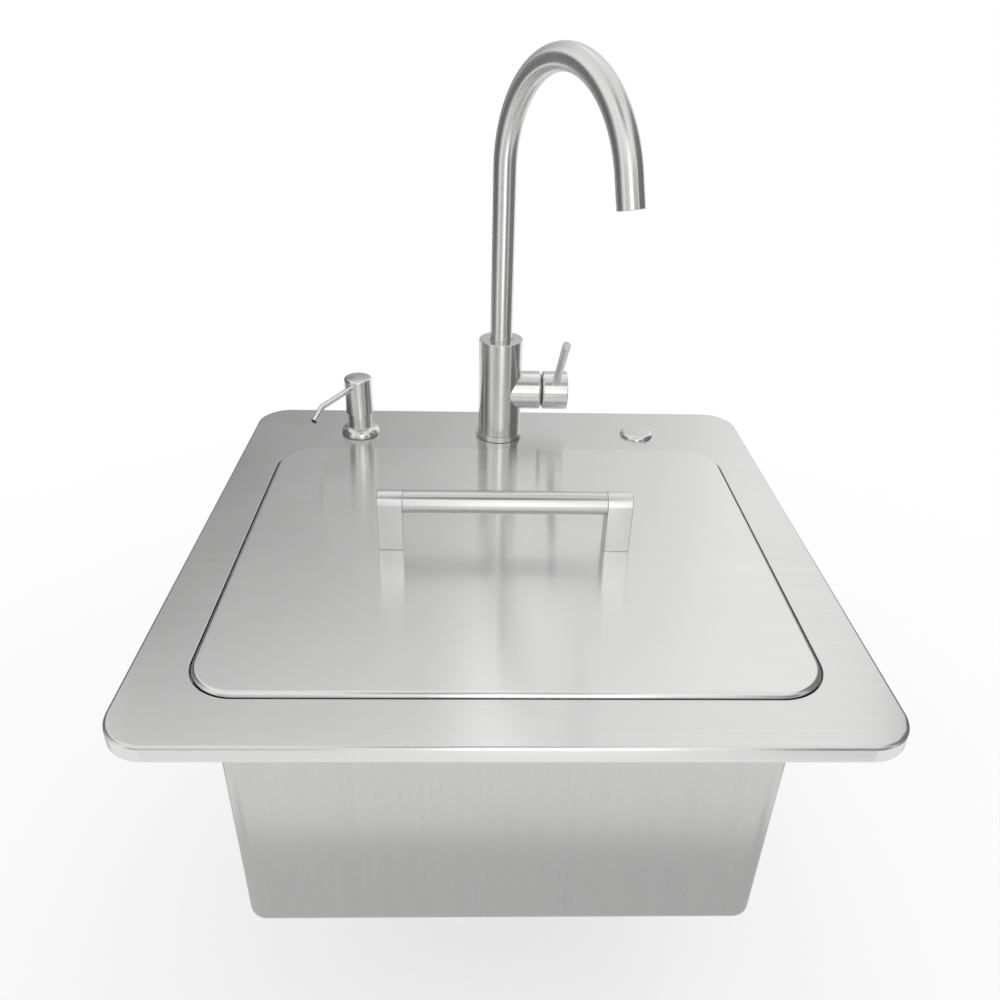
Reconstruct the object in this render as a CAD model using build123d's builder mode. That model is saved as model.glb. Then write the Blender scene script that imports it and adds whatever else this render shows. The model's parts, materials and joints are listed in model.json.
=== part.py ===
"""Outdoor drop-in sink: a folded rim and a square bowl under a lift-off lid, with a side-lever
tap on a swivelling swan-neck spout, a built-in soap dispenser, a capped spare hole and a basket
strainer in the floor.

Millimetres. The origin is the middle of the rim outline, on the worktop plane where the lower
edge of the rim rests. +X is to the right, -Y is towards the user and +Z is up.
"""

from build123d import *
from math import asin, cos, degrees, radians, sin, sqrt, tan
import os

os.makedirs("parts", exist_ok=True)

# Rim and deck
rim_width = 533.0
rim_depth = 513.0
rim_height = 12.5
rim_corner = 32.0
deck_sheet = 1.5
fold_radius = 2.5
deck_underside = rim_height - deck_sheet
hole_row_y = 199.0

# Lid opening and the recess that the lid sits in
opening_width = 451.0
opening_depth = 374.0
opening_corner = 38.0
opening_edge = 0.8
lid_y = -26.5
ledge_top = 2.5

# Lid
lid_gap = 2.0
lid_proud = 3.0
lid_edge = 3.5
lid_top = rim_height + lid_proud
lid_underside = lid_top - deck_sheet

# Bowl
bowl_width = 424.0
bowl_depth = 348.0
bowl_corner = 15.0
bowl_floor_radius = 11.0
bowl_sheet = 1.2
bowl_bottom = -253.0
ledge_fold = 1.0
drain_recess_radius = 60.0
drain_recess_depth = 5.0
drain_hole_radius = 45.0

# Lid handle
post_spacing = 192.0
post_width = 21.0
post_depth = 20.5
bar_radius = 10.0
bar_height = 42.0
bar_z = lid_top + bar_height
spigot_radius = 6.0
spigot_length = 12.0
post_edge = 0.6
screw_radius = 2.5
screw_clearance = 2.75
screw_length = 19.5
screw_head_radius = 4.5
screw_head_height = 3.0
screw_head_edge = 0.8
screw_socket = 1.6
screw_socket_depth = 2.0
handle_washer_radius = 7.5
handle_washer_height = 1.2

# Basket strainer, from the recess in the bowl floor down
recess_floor = bowl_bottom - drain_recess_depth + bowl_sheet
recess_underside = bowl_bottom - drain_recess_depth
strainer_flange_radius = 57.0
strainer_wall = 1.5
strainer_edge = 0.6
strainer_cup_radius = 43.5
strainer_cup_floor = -298.5
outlet_radius = 22.5
outlet_bore = 19.5
outlet_end = -325.0
spider_bar_width = 4.0
spider_bar_height = 3.0
spider_boss_radius = 6.5
spider_hole_radius = 3.4
gasket_height = 3.0
gasket_radius = 56.0
friction_ring_height = 1.2
locknut_height = 10.0
locknut_radius = 51.0
locknut_ear_reach = 57.0
locknut_ear_width = 12.0
locknut_ears = 6

# Strainer basket
basket_rim_radius = 40.5
basket_rim_top = -256.5
basket_floor_radius = 29.0
basket_floor = -290.3
basket_sheet = 1.0
basket_slots = 16
basket_slot_width = 3.0
basket_slot_length = 17.0
basket_holes = 12
basket_hole_radius = 1.8
basket_hole_circle = 24.6
seal_radius = 22.0
seal_height = 2.4
seal_lip = 1.8
seal_lip_edge = 1.4
post_stem_radius = 3.0
post_stem_end = -306.0
post_knob_radius = 8.0
post_knob_height = 6.0
post_knob_top = -250.0

# Tailpiece and its slip nut
tail_washer_height = 2.0
tailpiece_radius = 19.05
tailpiece_wall = 1.2
tailpiece_neck_radius = 19.4
tailpiece_neck_end = -334.0
tailpiece_flange_radius = 23.4
tailpiece_end = -420.0
slip_nut_radius = 28.0
slip_nut_top = -311.0
slip_nut_lip = 4.0
slip_nut_ribs = 8
slip_nut_rib = 1.6
slip_nut_rib_width = 5.0

# Tap: base ring, body barrel and shank
tap_x = 0.0
tap_hole_radius = 17.5
base_ring_radius = 25.0
base_ring_height = 5.5
barrel_radius = 22.5
barrel_bottom = rim_height + base_ring_height
barrel_top = 120.5
edge_break = 0.7
shank_radius = 16.5
shank_bore = 13.0
shank_engagement = 10.0
shank_end = -38.0
inlet_spacing = 13.0
inlet_radius = 4.5
inlet_length = 12.0
passage_radius = 3.2
tap_gasket_radius = 27.0
tap_gasket_height = 3.0
tap_washer_height = 2.0
tap_nut_across_flats = 46.0
tap_nut_height = 9.0

# Tap: side branch with the mixer cartridge
branch_z = 64.2
branch_radius = 20.0
seam_x = 43.0
groove_depth = 2.5
chamber_floor_x = 6.0
chamber_radius = 12.65
cartridge_radius = 12.5
cartridge_end_x = 36.0
cartridge_cavity_radius = 11.0
cartridge_base_x = 9.0
cartridge_lip_x = 34.0
cartridge_lip_radius = 9.6
cartridge_nut_x = 40.0
cartridge_nut_radius = 15.5
cartridge_nut_bore = 11.0
nut_notches = 4
nut_notch_width = 3.0
bonnet_mouth_radius = 16.0
port_offset_y = 5.5
port_below_axis = 4.0
mixed_port_above_axis = 5.0
port_radius = 2.5
disc_radius = 8.0
fixed_disc_end_x = 11.5
moving_disc_start_x = 11.6
moving_disc_end_x = 18.5
ball_socket_start_x = 13.2
ball_socket_radius = 2.85
mixing_pocket_depth = 0.9
mixing_pocket_radius = 5.6

# Tap: stem, spindle and lever
pivot_x = 23.0
stem_radius = 3.0
stem_neck_radius = 1.5
stem_ball_radius = 2.6
stem_ball_x = 16.0
stem_shoulder_x = 19.8
stem_end_x = 63.0
tang_start_x = 50.0
tang_width = 6.0
stem_pin_radius = 1.5
stem_pin_length = 18.0
spindle_start_x = 19.0
spindle_end_x = 33.7
spindle_radius = 10.95
slot_clearance = 0.35
pin_clearance = 0.05
lever_lift = 20.0
lever_angle = 44.0
cap_start_x = 44.0
cap_end_x = 70.6
cap_edge = 0.8
bonnet_sphere = 26.4
bonnet_wall = 1.2
bonnet_skirt_x = 40.2
bonnet_opening = 13.0
cap_sphere = 27.35
rod_radius = 4.0
rod_length = 87.0
rod_x = 57.5
rod_lean = 1.3
rod_spigot_radius = 2.5
rod_spigot_start = 12.0
rod_end_edge = 0.5
lever_screw_x = 56.5
lever_screw_radius = 2.5
lever_screw_outer = 18.5
lever_screw_socket = 1.5

# Spout
spout_radius = 11.1
spout_wall = 1.2
spout_bend_radius = 98.5
spout_bend_angle = 165.0
spout_bend_z = 285.5
spout_straight = 25.7
spout_turn = 26.9
socket_radius = 11.4
socket_floor = 91.0
spigot_bore_radius = 8.05
spigot_bore_floor = 79.0
mixed_passage_radius = 4.0
foot_gap = 0.25
foot_spigot_radius = 8.0
foot_shoulder_top = 101.0
foot_sleeve_top = 113.0
foot_bore = 5.5
o_ring_major = 7.15
o_ring_minor = 0.85
o_ring_groove_radius = 6.3
o_ring_groove_height = 2.2
o_ring_heights = (82.0, 87.0)
slide_ring_bottom = 97.2
slide_ring_top = 100.0
slide_ring_inner = 10.2
slide_ring_outer = 11.35
slide_ring_split = 1.5
retaining_groove_bottom = 92.4
retaining_groove_top = 96.0
retaining_groove_radius = 9.6
spout_screw_radius = 2.0
spout_screw_tip_radius = 1.3
spout_screw_tip = 10.0
aerator_recess = 1.5
aerator_length = 10.0
aerator_bore = 8.0
aerator_screen_height = 2.0
aerator_hole_radius = 0.9
aerator_hole_pitch = 3.3

# Soap dispenser
soap_x = -150.0
soap_hole_radius = 14.0
collar_flange_radius = 20.25
collar_flange_edge = 3.2
collar_dome_top = 21.5
collar_dome_radius = 8.5
collar_neck_radius = 12.5
collar_top = 50.0
collar_bore = 10.2
collar_shank_radius = 13.0
collar_shank_end = -18.0
soap_washer_radius = 20.0
soap_washer_height = 2.0
soap_nut_radius = 18.5
soap_nut_height = 8.0
soap_nut_grips = 8
soap_nut_grip_radius = 2.5
pump_flange_radius = 12.3
pump_flange_height = 1.5
pump_barrel_radius = 9.9
pump_barrel_bottom = -10.0
pump_bore = 5.0
pump_bore_bottom = -2.0
pump_bore_top = 44.0
valve_chamber_radius = 3.0
valve_seat_z = -8.0
valve_seat_radius = 2.0
pump_tail_radius = 4.0
pump_tail_end = -22.0
check_ball_radius = 2.6
piston_radius = 4.95
piston_height = 6.0
piston_bottom = 24.0
piston_rod_radius = 3.4
piston_rod_top = 66.0
piston_channel = 1.5
pump_guide_radius = 3.45
spring_radius = 4.1
spring_wire = 0.5
spring_turns = 5
dip_tube_radius = 5.0
dip_tube_top = -12.0
dip_tube_end = -124.0
bottle_radius = 31.0
bottle_wall = 1.4
bottle_neck_radius = 14.4
bottle_neck_top = -3.0
bottle_shoulder_top = -20.0
bottle_shoulder_bottom = -40.0
bottle_bottom = -130.0
bottle_heel = 5.0
pump_head_radius = 14.5
pump_head_bottom = 37.0
pump_head_top = 77.5
pump_head_bore = 13.1
pump_head_ceiling = 62.5
pump_head_edge = 2.5
pump_head_crown = 0.6
nozzle_radius = 2.8
nozzle_bore = 1.8
nozzle_z = 68.4
nozzle_start = 6.0
nozzle_reach = 64.5
nozzle_bend_radius = 9.0
nozzle_droop = 31.0
nozzle_tip_length = 15.7
nozzle_angle = 65.0

# Cover of the spare hole
cover_x = 150.6
cover_hole_radius = 14.0
cover_radius = 17.7
cover_height = 4.5
cover_edge = 1.6
cover_stud_radius = 3.0
cover_stud_end = -14.0
cover_gasket_radius = 19.0
cover_gasket_height = 2.0
cover_washer_radius = 18.0
cover_washer_height = 1.5
wing_nut_radius = 5.5
wing_nut_height = 6.0
wing_span = 30.0
wing_height = 11.0
wing_thickness = 2.2

# Places and axes that several sub-parts share
lid_centre = (0, lid_y)
tap_axis = Axis((tap_x, hole_row_y, 0), (0, 0, 1))
tap_section = Plane(origin=(tap_x, hole_row_y, 0), x_dir=(1, 0, 0), z_dir=(0, -1, 0))
branch_axis = Axis((tap_x, hole_row_y, branch_z), (1, 0, 0))
branch_section = Plane(origin=(tap_x, hole_row_y, branch_z), x_dir=(1, 0, 0), z_dir=(0, -1, 0))
branch_cross = Plane(origin=(tap_x, hole_row_y, branch_z), x_dir=(0, 1, 0), z_dir=(1, 0, 0))
lever_direction = Vector(0, -sin(radians(lever_angle)), cos(radians(lever_angle)))
tilt_direction = Vector(0, cos(radians(lever_angle)), sin(radians(lever_angle)))
lever_plane = Plane(
    origin=(tap_x, hole_row_y, branch_z), x_dir=(1, 0, 0), z_dir=-1 * tilt_direction
)
lever_cross = Plane(
    origin=(tap_x, hole_row_y, branch_z), x_dir=lever_direction, z_dir=(1, 0, 0)
)
rod_direction = lever_direction * cos(radians(rod_lean)) + Vector(sin(radians(rod_lean)), 0, 0)
rod_plane = Plane(origin=(rod_x, hole_row_y, branch_z), z_dir=rod_direction)
lever_screw_plane = Plane(
    origin=(lever_screw_x, hole_row_y, branch_z), x_dir=(1, 0, 0), z_dir=-1 * lever_direction
)
spout_reach = Vector(sin(radians(spout_turn)), -cos(radians(spout_turn)), 0)
spout_plane = Plane(
    origin=(tap_x, hole_row_y, 0), x_dir=spout_reach, z_dir=spout_reach.cross(Vector(0, 0, 1))
)
soap_axis = Axis((soap_x, hole_row_y, 0), (0, 0, 1))
soap_section = Plane(origin=(soap_x, hole_row_y, 0), x_dir=(1, 0, 0), z_dir=(0, -1, 0))
nozzle_direction = Vector(-cos(radians(nozzle_angle)), -sin(radians(nozzle_angle)), 0)
nozzle_plane = Plane(
    origin=(soap_x, hole_row_y, 0),
    x_dir=nozzle_direction,
    z_dir=nozzle_direction.cross(Vector(0, 0, 1)),
)
nozzle_cross = Plane(origin=(soap_x, hole_row_y, nozzle_z), z_dir=nozzle_direction)
cover_section = Plane(origin=(cover_x, hole_row_y, 0), x_dir=(1, 0, 0), z_dir=(0, -1, 0))
drain_axis = Axis((0, lid_y, 0), (0, 0, 1))
drain_section = Plane(origin=(0, lid_y, 0), x_dir=(1, 0, 0), z_dir=(0, -1, 0))


# Rim: a folded sheet with a turned-down apron, and a turned-down flange round the lid opening
with BuildPart() as deck_rim:
    with BuildSketch():
        RectangleRounded(rim_width, rim_depth, rim_corner)
    extrude(amount=rim_height)
    fillet(deck_rim.edges().group_by(Axis.Z)[-1], fold_radius)
    with BuildSketch():
        RectangleRounded(
            rim_width - 2 * deck_sheet, rim_depth - 2 * deck_sheet, rim_corner - deck_sheet
        )
    extrude(amount=deck_underside, mode=Mode.SUBTRACT)
    with BuildSketch(Plane.XY.offset(ledge_top)):
        with Locations(lid_centre):
            RectangleRounded(
                opening_width + 2 * deck_sheet,
                opening_depth + 2 * deck_sheet,
                opening_corner + deck_sheet,
            )
    extrude(amount=deck_underside - ledge_top)
    with BuildSketch(Plane.XY.offset(ledge_top)):
        with Locations(lid_centre):
            RectangleRounded(opening_width, opening_depth, opening_corner)
    extrude(amount=rim_height - ledge_top, mode=Mode.SUBTRACT)
    fillet(deck_rim.faces().sort_by(Axis.Z)[-1].inner_wires().edges(), opening_edge)
    with Locations((tap_x, hole_row_y, rim_height)):
        Hole(tap_hole_radius, depth=2 * deck_sheet)
    with Locations((soap_x, hole_row_y, rim_height)):
        Hole(soap_hole_radius, depth=2 * deck_sheet)
    with Locations((cover_x, hole_row_y, rim_height)):
        Hole(cover_hole_radius, depth=2 * deck_sheet)
deck_rim.part.label = "deck_rim"
export_step(deck_rim.part, "parts/deck_rim.step")

# Bowl: a pressed box with a ledge at its mouth and a round recess for the strainer in its floor
with BuildPart() as bowl:
    with BuildSketch(Plane.XY.offset(bowl_bottom)):
        with Locations(lid_centre):
            RectangleRounded(bowl_width, bowl_depth, bowl_corner)
    extrude(amount=ledge_top - bowl_bottom)
    fillet(bowl.edges().group_by(Axis.Z)[0], bowl_floor_radius)
    offset(amount=-bowl_sheet, openings=bowl.faces().sort_by(Axis.Z)[-1])
    with BuildSketch(Plane.XY.offset(ledge_top - bowl_sheet)):
        with Locations(lid_centre):
            RectangleRounded(
                opening_width + 2 * deck_sheet,
                opening_depth + 2 * deck_sheet,
                opening_corner + deck_sheet,
            )
            RectangleRounded(
                bowl_width - 2 * bowl_sheet,
                bowl_depth - 2 * bowl_sheet,
                bowl_corner - bowl_sheet,
                mode=Mode.SUBTRACT,
            )
    extrude(amount=bowl_sheet)
    fillet(bowl.faces().sort_by(Axis.Z)[-1].inner_wires().edges(), ledge_fold)
    with BuildSketch(Plane.XY.offset(recess_underside)):
        with Locations(lid_centre):
            Circle(drain_recess_radius + bowl_sheet)
    extrude(amount=drain_recess_depth)
    with BuildSketch(Plane.XY.offset(recess_floor)):
        with Locations(lid_centre):
            Circle(drain_recess_radius)
    extrude(amount=drain_recess_depth, mode=Mode.SUBTRACT)
    with BuildSketch(Plane.XY.offset(recess_underside)):
        with Locations(lid_centre):
            Circle(drain_hole_radius)
    extrude(amount=bowl_sheet, mode=Mode.SUBTRACT)
bowl.part.label = "bowl"
export_step(bowl.part, "parts/bowl.step")

# Lid: a shallow pan turned upside down, its skirt standing on the bowl ledge
with BuildPart() as lid:
    with BuildSketch(Plane.XY.offset(ledge_top)):
        with Locations(lid_centre):
            RectangleRounded(
                opening_width - 2 * lid_gap,
                opening_depth - 2 * lid_gap,
                opening_corner - lid_gap,
            )
    extrude(amount=lid_top - ledge_top)
    fillet(lid.edges().group_by(Axis.Z)[-1], lid_edge)
    offset(amount=-deck_sheet, openings=lid.faces().sort_by(Axis.Z)[0])
    with Locations((0, lid_y, lid_top)):
        with GridLocations(post_spacing, 0, 2, 1):
            Hole(screw_clearance, depth=2 * deck_sheet)
lid.part.label = "lid"
export_step(lid.part, "parts/lid.step")

# Handle bar: a round bar with a turned-down spigot at each end
with BuildPart() as handle_bar:
    bar_length = post_spacing - post_width
    with BuildSketch(Plane(origin=(0, lid_y, bar_z), z_dir=(1, 0, 0))):
        Circle(bar_radius)
    extrude(amount=bar_length / 2, both=True)
    with BuildSketch(Plane(origin=(0, lid_y, bar_z), z_dir=(1, 0, 0))):
        Circle(spigot_radius)
    extrude(amount=bar_length / 2 + spigot_length, both=True)
handle_bar.part.label = "handle_bar"
export_step(handle_bar.part, "parts/handle_bar.step")

# Handle posts: flat-faced blocks with a round top about the bar, bored for bar and screw
for post_name, side in (("handle_post_left", -1), ("handle_post_right", 1)):
    with BuildPart() as handle_post:
        post_x = side * post_spacing / 2
        post_end = Plane(
            origin=(post_x - post_width / 2, lid_y, 0), x_dir=(0, 1, 0), z_dir=(1, 0, 0)
        )
        with BuildSketch(post_end):
            with Locations((0, lid_top)):
                Rectangle(post_depth, bar_height, align=(Align.CENTER, Align.MIN))
            with Locations((0, bar_z)):
                Circle(post_depth / 2)
        extrude(amount=post_width)
        chamfer(handle_post.edges().filter_by(Axis.Z), post_edge)
        inner_face = Plane(
            origin=(post_x - side * post_width / 2, lid_y, bar_z), z_dir=(-side, 0, 0)
        )
        with Locations(inner_face):
            Hole(spigot_radius, depth=spigot_length)
        with Locations(Plane(origin=(post_x, lid_y, lid_top), z_dir=(0, 0, -1))):
            Hole(screw_radius, depth=screw_length)
    handle_post.part.label = post_name
    export_step(handle_post.part, f"parts/{post_name}.step")

# Handle washers, under the lid sheet
with BuildPart() as handle_washers:
    with BuildSketch(Plane.XY.offset(lid_underside - handle_washer_height)):
        with Locations(lid_centre):
            with GridLocations(post_spacing, 0, 2, 1):
                Circle(handle_washer_radius)
                Circle(screw_clearance, mode=Mode.SUBTRACT)
    extrude(amount=handle_washer_height)
handle_washers.part.label = "handle_washers"
export_step(handle_washers.part, "parts/handle_washers.step")

# Handle screws, up through the lid into the posts
with BuildPart() as handle_screws:
    screw_seat = lid_underside - handle_washer_height
    with BuildSketch(Plane.XY.offset(screw_seat - screw_head_height)):
        with Locations(lid_centre):
            with GridLocations(post_spacing, 0, 2, 1):
                Circle(screw_head_radius)
    extrude(amount=screw_head_height)
    chamfer(handle_screws.edges().group_by(Axis.Z)[0], screw_head_edge)
    with BuildSketch(Plane.XY.offset(screw_seat)):
        with Locations(lid_centre):
            with GridLocations(post_spacing, 0, 2, 1):
                Circle(screw_radius)
    extrude(amount=lid_top + screw_length - screw_seat)
    with BuildSketch(Plane.XY.offset(screw_seat - screw_head_height)):
        with Locations(lid_centre):
            with GridLocations(post_spacing, 0, 2, 1):
                RegularPolygon(screw_socket, 6)
    extrude(amount=screw_socket_depth, mode=Mode.SUBTRACT)
handle_screws.part.label = "handle_screws"
export_step(handle_screws.part, "parts/handle_screws.step")

# Strainer body: a flanged cup in the floor recess, open in the middle of its floor
strainer_underside = strainer_cup_floor - strainer_wall
with BuildPart() as strainer_body:
    with BuildSketch(drain_section):
        with BuildLine():
            cup_bore = strainer_cup_radius - strainer_wall
            flange_top = recess_floor + strainer_wall
            Polyline(
                (cup_bore, flange_top),
                (strainer_flange_radius, flange_top),
                (strainer_flange_radius, recess_floor),
                (strainer_cup_radius, recess_floor),
                (strainer_cup_radius, strainer_underside),
                (outlet_bore, strainer_underside),
                (outlet_bore, strainer_cup_floor),
                (cup_bore, strainer_cup_floor),
                close=True,
            )
        make_face()
    revolve(axis=drain_axis)
    fillet(strainer_body.edges().filter_by(GeomType.CIRCLE).group_by(Axis.Z)[-1], strainer_edge)
strainer_body.part.label = "strainer_body"
export_step(strainer_body.part, "parts/strainer_body.step")

# Strainer outlet: a threaded tail brazed under the cup, with a four-arm spider at its top
with BuildPart() as strainer_outlet:
    with BuildSketch(Plane.XY.offset(outlet_end)):
        with Locations(lid_centre):
            Circle(outlet_radius)
            Circle(outlet_bore, mode=Mode.SUBTRACT)
    extrude(amount=strainer_underside - outlet_end)
    with BuildSketch(Plane.XY.offset(strainer_underside - spider_bar_height)):
        with Locations(lid_centre):
            Rectangle(2 * outlet_bore, spider_bar_width)
            Rectangle(spider_bar_width, 2 * outlet_bore)
            Circle(spider_boss_radius)
            Circle(spider_hole_radius, mode=Mode.SUBTRACT)
    extrude(amount=spider_bar_height)
strainer_outlet.part.label = "strainer_outlet"
export_step(strainer_outlet.part, "parts/strainer_outlet.step")

# Rubber gasket between the recess and the friction ring
with BuildPart() as strainer_gasket:
    with BuildSketch(Plane.XY.offset(recess_underside - gasket_height)):
        with Locations(lid_centre):
            Circle(gasket_radius)
            Circle(strainer_cup_radius, mode=Mode.SUBTRACT)
    extrude(amount=gasket_height)
strainer_gasket.part.label = "strainer_gasket"
export_step(strainer_gasket.part, "parts/strainer_gasket.step")

# Fibre friction ring that lets the locknut turn without dragging the gasket
with BuildPart() as friction_ring:
    friction_ring_bottom = recess_underside - gasket_height - friction_ring_height
    with BuildSketch(Plane.XY.offset(friction_ring_bottom)):
        with Locations(lid_centre):
            Circle(gasket_radius)
            Circle(strainer_cup_radius, mode=Mode.SUBTRACT)
    extrude(amount=friction_ring_height)
friction_ring.part.label = "friction_ring"
export_step(friction_ring.part, "parts/friction_ring.step")

# Strainer locknut: a ring with ears for a spanner
with BuildPart() as strainer_locknut:
    with BuildSketch(Plane.XY.offset(friction_ring_bottom - locknut_height)):
        with Locations(lid_centre):
            Circle(locknut_radius)
            with PolarLocations(0, locknut_ears):
                Rectangle(locknut_ear_reach, locknut_ear_width, align=(Align.MIN, Align.CENTER))
            Circle(strainer_cup_radius, mode=Mode.SUBTRACT)
    extrude(amount=locknut_height)
    chamfer(strainer_locknut.faces().sort_by(Axis.Z)[0].outer_wire().edges(), edge_break)
strainer_locknut.part.label = "strainer_locknut"
export_step(strainer_locknut.part, "parts/strainer_locknut.step")

# Basket: a tapered pressed cup with a rolled rim, slots in its wall and holes in its floor
with BuildPart() as basket:
    with BuildSketch(drain_section):
        with BuildLine():
            basket_wall_top = basket_rim_top - basket_sheet
            basket_mouth = basket_rim_radius - 2 * basket_sheet
            Polyline(
                (post_stem_radius, basket_floor),
                (basket_floor_radius, basket_floor),
                (basket_mouth, basket_wall_top),
                (basket_rim_radius, basket_wall_top),
                (basket_rim_radius, basket_rim_top),
                (basket_mouth - basket_sheet, basket_rim_top),
                (basket_floor_radius - basket_sheet, basket_floor + basket_sheet),
                (post_stem_radius, basket_floor + basket_sheet),
                close=True,
            )
        make_face()
    revolve(axis=drain_axis)
    slot_z = (basket_floor + basket_rim_top) / 2
    slot_turns = [radians(360 * (number + 0.5) / basket_slots) for number in range(basket_slots)]
    slot_planes = [
        Plane(origin=(0, lid_y, slot_z), x_dir=(0, 0, 1), z_dir=(cos(turn), sin(turn), 0))
        for turn in slot_turns
    ]
    with BuildSketch(*slot_planes):
        Rectangle(basket_slot_length, basket_slot_width)
    extrude(amount=basket_rim_radius, mode=Mode.SUBTRACT)
    with BuildSketch(Plane.XY.offset(basket_floor)):
        with Locations(lid_centre):
            with PolarLocations(basket_hole_circle, basket_holes):
                Circle(basket_hole_radius)
    extrude(amount=basket_sheet, mode=Mode.SUBTRACT)
basket.part.label = "basket"
export_step(basket.part, "parts/basket.step")

# Basket seal: a rubber disc with a drooping lip that closes the outlet when the basket is down
with BuildPart() as basket_seal:
    with BuildSketch(drain_section):
        with BuildLine():
            Polyline(
                (post_stem_radius, basket_floor),
                (seal_radius - seal_lip, basket_floor),
                (seal_radius, basket_floor - seal_height),
                (seal_radius, basket_floor - seal_height - seal_lip_edge),
                (seal_radius - seal_lip, basket_floor - seal_height - seal_lip_edge),
                (seal_radius - 2 * seal_lip, basket_floor - seal_height),
                (post_stem_radius, basket_floor - seal_height),
                close=True,
            )
        make_face()
    revolve(axis=drain_axis)
basket_seal.part.label = "basket_seal"
export_step(basket_seal.part, "parts/basket_seal.step")

# Basket post: the knob that the basket is lifted by, its stem passing down into the spider
with BuildPart() as basket_post:
    with BuildSketch(drain_section):
        with BuildLine():
            Polyline(
                (0, post_stem_end),
                (post_stem_radius - edge_break, post_stem_end),
                (post_stem_radius, post_stem_end + edge_break),
                (post_stem_radius, post_knob_top - post_knob_height),
                (post_knob_radius, post_knob_top - post_knob_height / 2),
                (post_knob_radius, post_knob_top - edge_break),
                (post_knob_radius - edge_break, post_knob_top),
                (0, post_knob_top),
                close=True,
            )
        make_face()
    revolve(axis=drain_axis)
basket_post.part.label = "basket_post"
export_step(basket_post.part, "parts/basket_post.step")

# Nylon washer between the strainer outlet and the tailpiece
with BuildPart() as tail_washer:
    with BuildSketch(Plane.XY.offset(outlet_end - tail_washer_height)):
        with Locations(lid_centre):
            Circle(tailpiece_flange_radius)
            Circle(tailpiece_radius, mode=Mode.SUBTRACT)
    extrude(amount=tail_washer_height)
tail_washer.part.label = "tail_washer"
export_step(tail_washer.part, "parts/tail_washer.step")

# Tailpiece: a thin tube, swaged wider at its neck, with a flared flange that the slip nut pulls up
with BuildPart() as tailpiece:
    tailpiece_top = outlet_end - tail_washer_height
    with BuildSketch(Plane.XY.offset(tailpiece_end)):
        with Locations(lid_centre):
            Circle(tailpiece_radius)
    extrude(amount=tailpiece_neck_end - tailpiece_end)
    with BuildSketch(Plane.XY.offset(tailpiece_neck_end)):
        with Locations(lid_centre):
            Circle(tailpiece_neck_radius)
    extrude(amount=tailpiece_top - tailpiece_neck_end)
    with BuildSketch(Plane.XY.offset(tailpiece_top - tailpiece_wall)):
        with Locations(lid_centre):
            Circle(tailpiece_flange_radius)
    extrude(amount=tailpiece_wall)
    with Locations((0, lid_y, tailpiece_top)):
        Hole(tailpiece_radius - tailpiece_wall)
tailpiece.part.label = "tailpiece"
export_step(tailpiece.part, "parts/tailpiece.step")

# Slip nut: a ribbed coupling nut on the outlet thread, its lip under the tailpiece flange
with BuildPart() as slip_nut:
    slip_nut_bottom = tailpiece_top - tailpiece_wall - slip_nut_lip
    with BuildSketch(Plane.XY.offset(slip_nut_bottom)):
        with Locations(lid_centre):
            Circle(slip_nut_radius - slip_nut_rib)
            with PolarLocations(0, slip_nut_ribs):
                Rectangle(slip_nut_radius, slip_nut_rib_width, align=(Align.MIN, Align.CENTER))
    extrude(amount=slip_nut_top - slip_nut_bottom)
    with Locations((0, lid_y, slip_nut_top)):
        CounterBoreHole(
            radius=tailpiece_neck_radius,
            counter_bore_radius=tailpiece_flange_radius,
            counter_bore_depth=slip_nut_top - slip_nut_bottom - slip_nut_lip,
        )
    with BuildSketch(Plane.XY.offset(outlet_end)):
        with Locations(lid_centre):
            Circle(tailpiece_flange_radius)
            Circle(outlet_radius, mode=Mode.SUBTRACT)
    extrude(amount=slip_nut_top - outlet_end)
slip_nut.part.label = "slip_nut"
export_step(slip_nut.part, "parts/slip_nut.step")

# Tap base ring, on the deck under the barrel
with BuildPart() as tap_base_ring:
    with BuildSketch(Plane.XY.offset(rim_height)):
        with Locations((tap_x, hole_row_y)):
            Circle(base_ring_radius)
    extrude(amount=base_ring_height)
    chamfer(tap_base_ring.edges().filter_by(GeomType.CIRCLE), edge_break)
    with Locations((tap_x, hole_row_y, barrel_bottom)):
        Hole(shank_radius)
tap_base_ring.part.label = "tap_base_ring"
export_step(tap_base_ring.part, "parts/tap_base_ring.step")

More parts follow.
